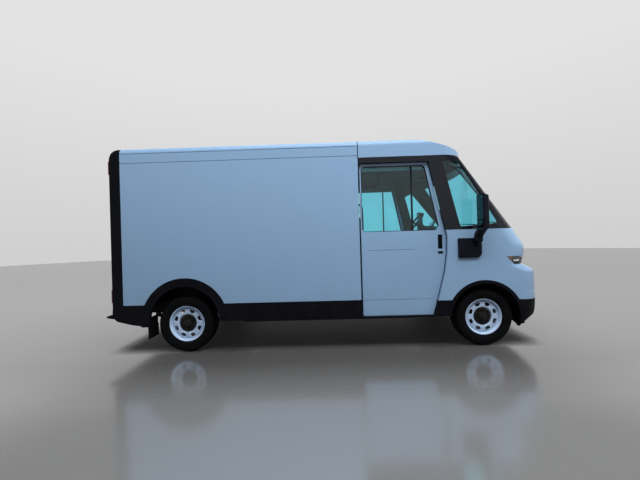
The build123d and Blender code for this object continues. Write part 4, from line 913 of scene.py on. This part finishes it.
amber_lens = ribbed_lens("amber_lens", (138, 92, 58), (96, 58, 34), 0.22, 0.15, 170)
clear_cover = Finish("clear_cover", (236, 240, 244), 0.0, Transmission_Weight=1.0, IOR=1.3)
clear_cover.tint(clear_cover.noise(9) * 0.25, (222, 230, 238))
clear_cover.gloss(clear_cover.fade(clear_cover.noise(20, 3), 0.55, 0.9) * 0.03)
nose_dark = Finish("lamp_dark", (34, 32, 34), 0.3)
nose_dark.tint(nose_dark.noise(14, 3) * 0.35, (58, 50, 46)).worn((40, 2), 0.15, 0.22)
nose_dark.grained((300, 2), 0.00015)
lamp_inner = 0.56
band = part_of("headlamps", "nose_band", [((0, -lamp_inner, 0), (0, -1, 0)), ((0, lamp_inner, 0), (0, 1, 0))])
fitted(band, "root", gloss_black, ["headlamps"])
inboard = ((0, -lamp_inner - 0.004, 0), (0, 1, 0))
cover = part_of("headlamps", "lamp_cover_right", [inboard])
base = part_of("headlamps", "lamp_base_right", [inboard, ((0, -lamp_inner - 0.012, 0), (0, 1, 0))], -0.005)
amber = part_of("headlamps", "indicator_right", [inboard, ((2.43, 0, 0), (1, 0, 0))], -0.0035)
lamp_pieces = []
for y in (0.66, 0.78, 0.89):
    place, normal = shell_at("headlamps", (far_ahead, -y, 1.092), (-1, 0, 0))
    lens = round_piece("lens", [
        (0, -0.012), (0.034, -0.012), (0.036, -0.005), (0.034, -0.002), (0.030, -0.006), (0.022, -0.0045),
        (0.012, -0.003), (0, -0.0025),
    ], 32)
    lamp_pieces.append(placed(lens, place, normal))
round_the_side = [(2.44 + 0.018 * step, -3, 1.09) for step in range(6)]
lamp_pieces.append(pipe("side_guide", traced("headlamps", round_the_side, (0, 1, 0), -0.0065), 0.009))
across_the_front = [(far_ahead, -(0.6 + 0.42 * step / 12), 1.134) for step in range(13)]
lamp_pieces.append(pipe("guide", traced("headlamps", across_the_front, (-1, 0, 0), -0.0045), 0.0035))
modules = joined("lamp_modules_right", lamp_pieces)
for piece, slot, finish in (
    (cover, "lamp_lens", clear_cover), (base, "black_moulding", nose_dark), (amber, "lamp_lens", amber_lens),
    (modules, "lamp_lens", lamp_white),
):
    on_both_sides(piece, "root", finish)


def button(name, node, start, direction, radius, height):
    """A low round cap sitting on a CAD piece."""
    place, normal = shell_at(node, start, direction)
    rim = [(0, -0.003), (radius, -0.003), (radius, height * 0.6), (radius * 0.85, height), (0, height * 1.1)]
    return placed(round_piece(name, rim, 24), place, normal)


sensors = [
    button("sensor", "front_bumper", (far_ahead, y, 0.575), (-1, 0, 0), 0.012, 0.003)
    for y in (-0.78, -0.3, 0.3, 0.78)
]
fitted(joined("parking_sensors_front", sensors), "root", gloss_black)
slats = []
for z in (0.375, 0.4, 0.425):
    for y in (-0.225, -0.075, 0.075, 0.225):
        slats.append(block("slat", (2.88, y - 0.077, z - 0.003), (2.91, y + 0.077, z + 0.004)))
for y in (-0.3, -0.15, 0, 0.15, 0.3):
    slats.append(block("slat", (2.882, y - 0.004, 0.352), (2.912, y + 0.004, 0.448)))
fitted(softened(joined("intake_grille", slats), 0.0015, 1), "root", black_moulding)
hatch_edge = [
    (far_ahead, y, 1.40 - 0.16 * max(0.0, (abs(y) - 0.66) / 0.16) ** 2)
    for y in [-0.82 + 1.64 * step / 32 for step in range(33)]
]
seam = traced("nose_panel", hatch_edge, (-1, 0, 0), -0.0012)
fitted(pipe("nose_hatch_seam", seam, 0.0026), "root", rubber)

# five marker lamps across the brow and three over the rear doors, each a small lens on a black foot
red_lens = ribbed_lens("red_lens", (112, 18, 20), (72, 10, 14), 0.2, 0.14, 150)
brow_places, rear_places = (-0.66, -0.24, 0, 0.24, 0.66), (-0.3, 0, 0.3)
foot_size, lens_size = (0.058, 0.017, -0.004, 0.004), (0.05, 0.011, 0.002, 0.011)
for name, ys, start_x, node, z, finish, slot in (
    ("brow_markers", brow_places, far_ahead, "cab_roof", 2.575, amber_lens, "lamp_lens"),
    ("rear_markers", rear_places, -far_ahead, "rear_surround", 2.625, red_lens, "tail_lens"),
):
    lenses, feet = [], []
    for y in ys:
        place, normal = shell_at(node, (start_x, y, z), (-start_x, 0, 0))
        for group, (width, height, low, high) in ((feet, foot_size), (lenses, lens_size)):
            lamp = block("marker", (-width, -height, low), (width, height, high))
            softened(lamp, 0.004, 3)
            group.append(placed(lamp, place, normal))
    fitted(joined(name, lenses), "root", finish)
    fitted(joined(f"{name}_feet", feet), "root", black_moulding)

# ---- Charging inlet ----
# A moulded socket with round contact wells sits in the fender behind a painted flap hinged at its front edge.
port_x, port_z = 2.238, 1.29
turns = [index * tau / 6 for index in range(6)]
wells = [(0, 0.022, 0.0075)] + [(0.017 * cos(turn), 0.022 + 0.017 * sin(turn), 0.0045) for turn in turns]
wells += [(-0.018, -0.034, 0.013), (0.018, -0.034, 0.013)]
socket = round_piece("socket", [(0, 0), (0.062, 0), (0.062, 0.012), (0.058, 0.016), (0, 0.016)], 48)
for x, y, radius in wells:
    cut(socket, round_piece("hole", [(0, 0.004), (radius, 0.004), (radius, 0.03), (0, 0.03)], 20, x, y))
softened(tidied(socket), 0.0008, 2, 50)
placed(socket, (port_x, 1.003, port_z), (0, 1, 0))
socket.name = "charge_socket_insert"
fitted(socket, "root", gloss_black)
black_moulding.on(nodes["charge_inlet"])

# ---- Rear hoop, doors, lamps and step ----
# The black hoop frames two insulated hinged doors; each has a rubber seal, and steel lock rods with a
# folding handle. Lamps are screwed to the hoop, and a ribbed black step runs across the frame's end.
door_face = -2.757


def door_corners(x, sign, across, up):
    """The four corners of a sheet on one rear door, between two distances across and two heights."""
    return [(x, sign * y, z) for y, z in zip((*across, *across[::-1]), (up[0], up[0], up[1], up[1]))]


for side, sign in sides:
    rod_x, rod_y = door_face - 0.014, sign * 0.11
    rods = [pipe("rod", [(rod_x, rod_y, 0.665), (rod_x, rod_y, 2.535)], 0.0085, False)]
    for z in (0.69, 1.15, 1.9, 2.50):
        low = (door_face - 0.026, rod_y - 0.022, z - 0.017)
        bracket = block("bracket", low, (door_face + 0.001, rod_y + 0.022, z + 0.017))
        reworked(bracket, "-x", ("scale", (1, 0.55, 0.75)))
        rods.append(softened(bracket, 0.003, 2))
    handle_y, catch_y = sign * 0.185, sign * 0.19
    low = (door_face - 0.026, handle_y - 0.075, 1.31)
    handle = block("handle", low, (door_face - 0.012, handle_y + 0.075, 1.336))
    reworked(handle, "-y" if sign < 0 else "+y", ("pull", (-0.002, sign * 0.05, -0.006)))
    rods.append(softened(handle, 0.005, 3))
    low = (door_face - 0.012, catch_y - 0.04, 1.285)
    rods.append(softened(block("catch", low, (door_face + 0.001, catch_y + 0.04, 1.36)), 0.004, 3))
    fitted(joined(f"lock_rod_{side}", rods), f"rear_door_{side}", galvanised)
    path = rounded(door_corners(door_face - 0.001, sign, (0.014, 0.958), (0.654, 2.546)), 0.05)
    seal = pipe(f"rear_door_seal_{side}", path + path[:2], 0.0055, False)
    fitted(seal, f"rear_door_{side}", rubber)
    inner = rounded(door_corners(-2.716, sign, (0.07, 0.9), (0.72, 2.48)), 0.07)
    board = panel(f"rear_door_lining_{side}", inner, (0.005, 0, 0))
    reworked(board, "+x", ("inset", (0.04, 0.0)), ("inset", (0.006, -0.002)))
    fitted(board, f"rear_door_{side}", lining_board)

plate_white = Finish("plate_white", (196, 199, 202), 0.4)
plate_white.stained((14, 4), (0.5, 0.8), 0.3, (168, 168, 164)).worn((45, 3), 0.2, 0.3)
plate_white.grained((260, 2), 0.0002)
plate = block("blank_plate", (door_face - 0.0065, 0.3275, 1.104), (door_face - 0.0035, 0.6325, 1.256))
reworked(plate, "-x", ("inset", (0.006, 0.0)), ("inset", (0.002, -0.001)))
fitted(softened(plate, 0.0008, 1), "rear_door_left", plate_white)
holder = [block("holder", (door_face - 0.004, 0.315, 1.09), (door_face + 0.001, 0.645, 1.27))]
holder.append(block("lamp_bar", (door_face - 0.035, 0.38, 1.285), (door_face + 0.001, 0.58, 1.318)))
reworked(holder[1], "-x", ("scale", (1, 0.9, 0.5)))
fitted(softened(joined("plate_holder", holder), 0.004, 3), "rear_door_left", black_moulding)

for side, sign in sides:
    for level, low, high in (("low", 0.60, 0.90), ("high", 2.30, 2.60)):
        cuts = [((0, 0, low), (0, 0, -1)), ((0, 0, high), (0, 0, 1)), ((0, 0, 0), (0, -sign, 0))]
        lens = softened(part_of("tail_lamps", f"tail_lens_{level}_{side}", cuts), 0.004, 3)
        fitted(lens, "root", red_lens, ["tail_lamps"])
step_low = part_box("rear_step")[0]
rear_step_z, rib_half, rib_reach = 0.48, 0.006, 0.085
ribs = []
for index in range(9):
    y = -0.84 + 0.21 * index
    for row in range(4):
        x = step_low.x + 0.05 + 0.045 * row
        low = (x - rib_half, y - rib_reach, rear_step_z - 0.0025)
        ribs.append(block("rib", low, (x + rib_half, y + rib_reach, rear_step_z + 0.0025)))
fitted(softened(joined("rear_step_ribs", ribs), 0.0015, 1), "root", rubber)
sensors = [
    button("sensor", "rear_step", (-far_ahead, y, 0.455), (1, 0, 0), 0.011, 0.0025)
    for y in (-0.7, -0.25, 0.25, 0.7)
]
fitted(joined("parking_sensors_rear", sensors), "root", gloss_black)

# ---- Driver's seat ----
# Moulded foam under woven cloth with piped seams, on a black tray bolted to a steel pedestal; a webbing
# belt hangs beside it from the door post.
seat_cloth = Finish("seat_cloth", (42, 44, 50), 0.85, Sheen_Weight=0.25)
seat_cloth.tint(seat_cloth.waves(900, "Y") * 0.35, (70, 73, 80))
seat_cloth.stained((8, 4), (0.45, 0.8), 0.4, (58, 58, 60)).worn((40, 3), 0.15, 0.75)
seat_cloth.relief(seat_cloth.waves(900, "Y") * 0.5 + seat_cloth.waves(900, "X") * 0.5, 0.0005)
seat_y, seat_half, seam_out = 0.43, 0.236, 0.14
pads = {
    "seat_cushion": [(0.755, 1.142), (1.140, 1.142), (1.150, 1.222), (0.755, 1.200)],
    "seat_back": [
        (0.650, 1.150), (0.722, 1.150), (0.712, 1.250), (0.646, 1.800), (0.583, 1.792), (0.638, 1.250),
    ],
    "head_rest": [(0.583, 1.838), (0.640, 1.842), (0.630, 1.998), (0.576, 1.998)],
}
limit_of_swelling = 0.022


def stuffed(name, outline, half):
    """A foam pad: a closed shape blown up as cloth from inside, no further than the foam allows."""
    pad = panel(name, [(x, seat_y - half, z) for x, z in outline], (0, 2 * half, 0))
    bevelled(pad, 0.022, 3, 25)
    active(pad)
    pad.data.remesh_voxel_size = 0.006
    bpy.ops.object.voxel_remesh()
    cloth = pad.modifiers.new("Cloth", "CLOTH")
    cloth.settings.use_pressure = True
    cloth.settings.uniform_pressure_force = 4
    cloth.settings.effector_weights.gravity = 0
    scene = bpy.context.scene
    for frame_number in range(1, 21):
        scene.frame_set(frame_number)
    swollen = pad.evaluated_get(bpy.context.evaluated_depsgraph_get()).data
    moved = [vertex.co.copy() for vertex in swollen.vertices]
    pad.modifiers.remove(cloth)
    scene.frame_set(1)
    for vertex, place in zip(pad.data.vertices, moved):
        shift = place - vertex.co
        if shift.length > limit_of_swelling:
            shift *= limit_of_swelling / shift.length
        vertex.co += shift
    shaped(pad, "SMOOTH", factor=0.5, iterations=6)
    shaped(pad, "SUBSURF", levels=1, render_levels=1)
    active(pad)
    bpy.ops.object.shade_smooth()
    return pad


def seam_on(pad, starts, direction):
    """Piping laid along a pad's surface, where lines of sight from `starts` meet it."""
    surface = shell(pad.data)
    places = []
    for start in starts:
        place, normal, _, _ = surface.ray_cast(Vector(start), Vector(direction))
        if place is not None:
            places.append(place + normal * 0.0004)
    return pipe("seam", places, 0.0026)


seams = []
for name, outline in pads.items():
    pad = stuffed(name, outline, seat_half if name != "head_rest" else 0.125)
    steps = [step / 20 for step in range(21)]
    cross_seam = [seat_y + seam_out * (2 * s - 1) for s in steps]
    if name == "seat_cushion":
        for y in (seat_y - seam_out, seat_y + seam_out):
            seams.append(seam_on(pad, [(0.79 + 0.33 * s, y, 1.5) for s in steps], (0, 0, -1)))
        seams.append(seam_on(pad, [(0.97, y, 1.5) for y in cross_seam], (0, 0, -1)))
    elif name == "seat_back":
        for y in (seat_y - seam_out, seat_y + seam_out):
            seams.append(seam_on(pad, [(1.4, y, 1.27 + 0.48 * s) for s in steps], (-1, 0, 0)))
        seams.append(seam_on(pad, [(1.4, y, 1.56) for y in cross_seam], (-1, 0, 0)))
    fitted(pad, "root", seat_cloth, ["driver_seat"])
fitted(joined("seat_piping", seams), "root", rubber)
tray_outline = [
    (0.640, 1.112), (1.150, 1.112), (1.160, 1.150), (0.70, 1.150), (0.640, 1.240), (0.572, 1.80),
    (0.560, 1.80), (0.628, 1.200),
]
tray = panel("seat_tray", [(x, seat_y - 0.25, z) for x, z in tray_outline], (0, 0.50, 0))
post_x, post_out = 0.606, 0.07
posts = [
    pipe("post", [(post_x, y, 1.78), (post_x, y, 1.90)], 0.006, False)
    for y in (seat_y - post_out, seat_y + post_out)
]
fitted(joined("seat_shell", [softened(tray, 0.006, 2, 25), *posts]), "root", black_moulding)
chassis_wax.on(nodes["seat_pedestal"])
webbing = Finish("webbing", (30, 31, 34), 0.75)
webbing.tint(webbing.waves(1100, "Z") * 0.5, (52, 54, 58)).worn((80, 2), 0.15, 0.62)
webbing.relief(webbing.waves(1100, "Z"), 0.0003)
belt = [block("belt", (0.560, 0.905, 0.92), (0.606, 0.9068, 1.96))]
reworked(belt[0], "+z", ("pull", (0, 0.006, 0.012)), ("pull", (0, 0.012, -0.006)))
belt.append(block("reel", (0.53, 0.895, 0.82), (0.636, 0.94, 0.93)))
softened(belt[1], 0.012, 4)
belt.append(block("guide", (0.546, 0.902, 1.957), (0.62, 0.93, 1.985)))
softened(belt[2], 0.008, 3)
fitted(joined("seat_belt", belt), "root", webbing)

# ---- Dashboard, steering wheel and pedals ----
# A grained moulding with louvred vents, a glass screen on a stalk and one behind the wheel; the wheel is
# foamed rubber on a three-spoke casting with a blank centre pad.
dash_plastic = Finish("dash_plastic", (38, 40, 44), 0.65)
dash_plastic.stained((7, 4), (0.45, 0.8), 0.35, (56, 58, 62)).worn((22, 3), 0.15, 0.55)
dash_plastic.relief(dash_plastic.cells(480), 0.0005)
dash_plastic.on(nodes["dashboard"])
screen_glass = Finish("screen_glass", (12, 14, 18), 0.08, Coat_Weight=0.8, Coat_Roughness=0.02)
screen_glass.tint(screen_glass.noise(10) * 0.4, (20, 24, 30))
screen_glass.gloss(screen_glass.fade(screen_glass.noise(16, 3), 0.5, 0.9) * 0.1 + 0.06)
screen_glass.grained((90, 2), 0.00005)
screens, cases, rim = [], [], 0.008
for width, height, place, facing in (
    (0.135, 0.082, Vector((1.742, -0.03, 1.592)), Vector((-0.95, 0.12, 0.3))),
    (0.125, 0.045, Vector((1.742, seat_y, 1.548)), Vector((-0.93, 0, 0.36))),
):
    case = softened(block("case", (-width, -height, -0.022), (width, height, 0)), 0.007, 3)
    face = block("face", (rim - width, rim - height, -0.004), (width - rim, height - rim, 0.0015))
    softened(face, 0.001, 1)
    cases.append(placed(case, place, facing))
    screens.append(placed(face, place, facing))
cases.append(pipe("stalk", [(1.764, -0.03, 1.47), (1.77, -0.03, 1.54), (1.755, -0.03, 1.59)], 0.018))
for y in (-0.86, -0.3, 0.14, 0.86):
    place, normal = shell_at("dashboard", (0.9, y, 1.32), (1, 0, 0))
    vent = block("vent", (-0.075, -0.03, -0.01), (0.075, 0.03, 0.007))
    reworked(vent, "+z", ("inset", (0.007, 0)), ("pull", (0, 0, -0.013)))
    softened(vent, 0.0015, 2)
    slats = []
    for z in (-0.013, 0, 0.013):
        slats.append(block("slat", (-0.068, z - 0.0015, -0.004), (0.068, z + 0.0015, 0.005)))
    for x in (-0.04, -0.013, 0.013, 0.04):
        slats.append(block("slat", (x - 0.001, -0.022, -0.005), (x + 0.001, 0.022, 0.001)))
    vent = joined("vent", [vent, *slats])
    cases.append(placed(vent, place, normal))
glove_corners = [(1.632, -0.82, 0.97), (1.632, -0.42, 0.97), (1.632, -0.42, 1.17), (1.632, -0.82, 1.17)]
glove_lid = rounded(glove_corners, 0.02, 4)
cases.append(softened(panel("glove_lid", glove_lid, (0.02, 0, 0)), 0.003, 2))
fitted(joined("dash_fittings", cases), "root", dash_plastic)
fitted(joined("dash_screens", screens), "root", screen_glass)

column_rake = radians(40)
wheel_axis = Vector((-cos(column_rake), 0, sin(column_rake)))
wheel_place = Vector((1.638, seat_y, 1.690))
ring_radius, grip_radius = 0.1885, 0.0155
turns = [index * tau / 14 for index in range(14)]
ring_section = [(ring_radius + grip_radius * cos(turn), grip_radius * sin(turn)) for turn in turns]
pieces = [round_piece("ring", ring_section, 72)]
for turn in (0, pi, -pi / 2):
    spoke = block("spoke", (0.045, -0.024, -0.040), (0.11, 0.024, -0.024))
    reworked(spoke, "+x", ("pull", (0.072, 0, 0.024)), ("scale", (1, 0.7, 0.7)))
    pieces.append(spun_copy(softened(spoke, 0.005, 3, 25), "spoke", turn, Vector((0, 0, 0)), "Z"))
    bpy.data.objects.remove(spoke)
centre_pad = block("centre_pad", (-0.078, -0.066, -0.050), (0.078, 0.056, -0.014))
reworked(centre_pad, "+z", ("scale", (0.82, 0.82, 1)))
pieces.append(softened(centre_pad, 0.02, 5, 20))
for x in (-0.098, 0.098):
    pieces.append(softened(block("keys", (x - 0.014, -0.014, -0.034), (x + 0.014, 0.014, -0.019)), 0.004, 3))
wheel = placed(joined("steering_wheel_rim", pieces), wheel_place, wheel_axis)
fitted(wheel, "steering_wheel", dash_plastic, ["steering_wheel"])
stalk_route = [(0.02, 0, -0.105), (0.08, 0.012, -0.100), (0.155, 0.018, -0.080)]
stalks = [pipe("stalk", [(sign * x, y, z) for x, y, z in stalk_route], 0.0065) for _, sign in sides]
tube = round_piece("tube", [(0, -0.2), (0.048, -0.2), (0.046, -0.085), (0.036, -0.062), (0, -0.062)], 32)
column = placed(joined("column_shroud", [*stalks, tube]), wheel_place, wheel_axis)
fitted(column, "root", dash_plastic)
pedals = []
for y, half_width, half_height in ((0.40, 0.04, 0.03), (0.53, 0.024, 0.06)):
    pedal = block("pedal", (-half_width, -half_height, -0.006), (half_width, half_height, 0.006))
    pedals.append(placed(softened(pedal, 0.003, 2), (1.72, y, 0.80), (-0.8, 0, 0.6)))
    pedals.append(pipe("pedal_arm", [(1.725, y, 0.80), (1.78, y, 0.83), (1.80, y, 0.90)], 0.008))
fitted(joined("pedals", pedals), "root", rubber)

# ---- Cab trim: roof lining, overhead box, grab bars and doorway edge ----
# Dark grained boards clipped under the roof, steel grab bars in black sleeves screwed to the bulkhead by
# each door, and a rubber edge round the way through to the load.
lining_z = 2.446
lining_edge = []
for step in range(17):
    y = -0.80 + 0.10 * step
    place, _ = shell_at("cab_surround", (0.9, y, lining_z + 0.004), (1, 0, 0))
    lining_edge.append((place.x - 0.012, y, lining_z))
lining_front = lining_edge[8][0]
right_edge, left_edge = ([(x, y, lining_z) for x in (0.492, 1.45)] for y in (-0.93, 0.93))
roof_lining = panel("roof_lining", right_edge + lining_edge + left_edge[::-1], (0, 0, 0.012))
reworked(roof_lining, "-z", ("inset", (0.05, 0.0)), ("inset", (0.008, -0.003)))
overhead = block("overhead_box", (0.91, -0.17, 2.262), (1.115, 0.17, 2.455))
reworked(overhead, "-z", ("scale", (0.9, 0.92, 1)), ("inset", (0.02, 0.0)), ("inset", (0.004, -0.003)))
softened(overhead, 0.01, 3)
visors = []
for y in (-0.45, 0.45):
    visor = block("visor", (lining_front - 0.27, y - 0.22, 2.428), (lining_front - 0.08, y + 0.22, 2.444))
    visors.append(softened(visor, 0.006, 3))
cab_lining = joined("cab_lining", [roof_lining, overhead, *visors])
fitted(cab_lining, "root", lining_vinyl)
bar_route = [
    (0.489, 1.02), (0.535, 1.03), (0.548, 1.10), (0.548, 1.45), (0.548, 1.80), (0.535, 1.87), (0.489, 1.88),
]
bars = [pipe("bar", [(x, y, z) for x, z in bar_route], 0.0135) for y in (-0.915, 0.795)]
door_edge = [(0.4895, -0.33, 0.705), (0.4895, -0.33, 2.25), (0.4895, 0.33, 2.25), (0.4895, 0.33, 0.705)]
bars.append(pipe("edge", door_edge[:1] + rounded(door_edge, 0.05)[7:21] + door_edge[-1:], 0.007, False))
fitted(joined("grab_bars", bars), "root", rubber)

# ---- Studio ----
# A wide grey painted floor with a strong sheen mirrors a pale wall. Right under the van it carries a painted
# shadow, dull and nearly black, and toward the camera its tone is painted lighter for the foreground's light.
# Five softboxes light it, and the camera looks nearly square at the van's right side from standing height.
floor_colour = Finish("studio_floor_paint", (80, 80, 80), 0.3, IOR=3.2)
# Painted light: the floor's tone is lighter toward the camera, to give the foreground's brightness.
floor_colour.tint(floor_colour.fade(floor_colour.along("Y"), -1.45, -2.35), (110, 110, 110))
across, lengthways = floor_colour.along("Y"), floor_colour.along("X")
# Painted shadow: a dull, nearly black patch right under the van.
painted_shadow_under_van = floor_colour.fade(across, -1.1, -0.8) * floor_colour.fade(across, 1.1, 0.8)
painted_shadow_under_van = painted_shadow_under_van * floor_colour.fade(lengthways, -2.9, -2.6) * floor_colour.fade(lengthways, 2.9, 2.6)
floor_colour.tint(painted_shadow_under_van, (20, 20, 20)).gloss(floor_colour.noise(3, 3) * 0.04 + 0.13 + painted_shadow_under_van * 0.6)
leave_edit()
bpy.ops.mesh.primitive_circle_add(vertices=96, radius=34, fill_type="NGON", location=(0, 0, 0))
floor = bpy.context.active_object
floor.name = "studio_floor"
floor_colour.on(floor)

world = bpy.data.worlds.new("studio_sky")
bpy.context.scene.world = world
world.use_nodes = True
sky = world.node_tree


def sky_node(kind, inputs, **settings):
    """Adds a node to the sky: its settings, then the values or links of its sockets."""
    made = sky.nodes.new("ShaderNode" + kind)
    for name, value in settings.items():
        setattr(made, name, value)
    for socket, value in inputs.items():
        if isinstance(value, bpy.types.NodeSocket):
            sky.links.new(value, made.inputs[socket])
        else:
            made.inputs[socket].default_value = value
    return made


def by_height(limits, levels):
    """A level that changes with the height of the sky, from one limit to the other."""
    names = ("From Min", "From Max", "To Min", "To Max")
    return sky_node("MapRange", {"Value": height, **dict(zip(names, (*limits, *levels)))}).outputs[0]


def glow(colour, strength):
    """A sky of one colour and strength."""
    return sky_node("Background", {"Color": (*colour, 1), "Strength": strength}).outputs[0]


ray = sky_node("LightPath", {}).outputs
seen_rays = {0: ray["Is Camera Ray"], 1: ray["Is Transmission Ray"]}
looks = sky_node("Math", seen_rays, operation="MAXIMUM").outputs[0]
direction = sky_node("TexCoord", {}).outputs["Generated"]
height = sky_node("SeparateXYZ", {0: direction}).outputs["Z"]
backdrop = by_height((0, 0.45), (0.63, 0.77))
low_wall = by_height((0, 0.14), (0.58, 0.82))
horizon = by_height((0.28, 0.41), (low_wall, 0.12))
light_sky = glow((0.93, 0.97, 1.0), 0.13)
mirror_sky = glow((1, 1, 1), horizon)
seen_sky = glow((1, 1, 1), backdrop)
unseen = sky_node("MixShader", {0: ray["Is Glossy Ray"], 1: light_sky, 2: mirror_sky}).outputs[0]
both = sky_node("MixShader", {0: looks, 1: unseen, 2: seen_sky}).outputs[0]
sky.links.new(both, sky.nodes["World Output"].inputs["Surface"])

for name, place, size, power, target in (
    ("overhead_softbox", (0.2, 0.2, 7.4), (9.0, 4.0), 460, (0, 0, 1)),
    ("side_softbox", (0.8, -5.2, 8.6), (10.0, 2.2), 1000, (0.5, -0.8, 1.2)),
    ("front_softbox", (8.0, -3.4, 6.5), (4.0, 4.0), 360, (1, 0, 1.2)),
    ("far_softbox", (-1.5, 6.5, 8.0), (8.0, 2.2), 420, (-0.5, 1.0, 1.2)),
    ("rear_softbox", (-9.0, 2.0, 6.5), (4.0, 4.0), 300, (-2, 0, 1.2)),
):
    leave_edit()
    aim = Vector(target) - Vector(place)
    bpy.ops.object.light_add(type="AREA", location=place, rotation=aim.to_track_quat("-Z", "Y").to_euler())
    lamp = bpy.context.active_object
    lamp.name = name
    lamp.data.shape = "RECTANGLE"
    lamp.data.size, lamp.data.size_y = size
    lamp.data.energy = power
    lamp.visible_glossy = False

bpy.ops.object.camera_add(location=(0.0566, -5.0931, 1.4199))
camera = bpy.context.active_object
heading, pitch, tilt = radians(1.14), radians(90.04), radians(-1.65)
turn = Matrix.Rotation(heading, 4, "Z") @ Matrix.Rotation(pitch, 4, "X") @ Matrix.Rotation(tilt, 4, "Z")
camera.matrix_world = Matrix.Translation(camera.location) @ turn
camera.data.sensor_width = 36
camera.data.lens = 17.556
bpy.context.scene.camera = camera
bpy.context.scene.view_settings.view_transform = "Standard"
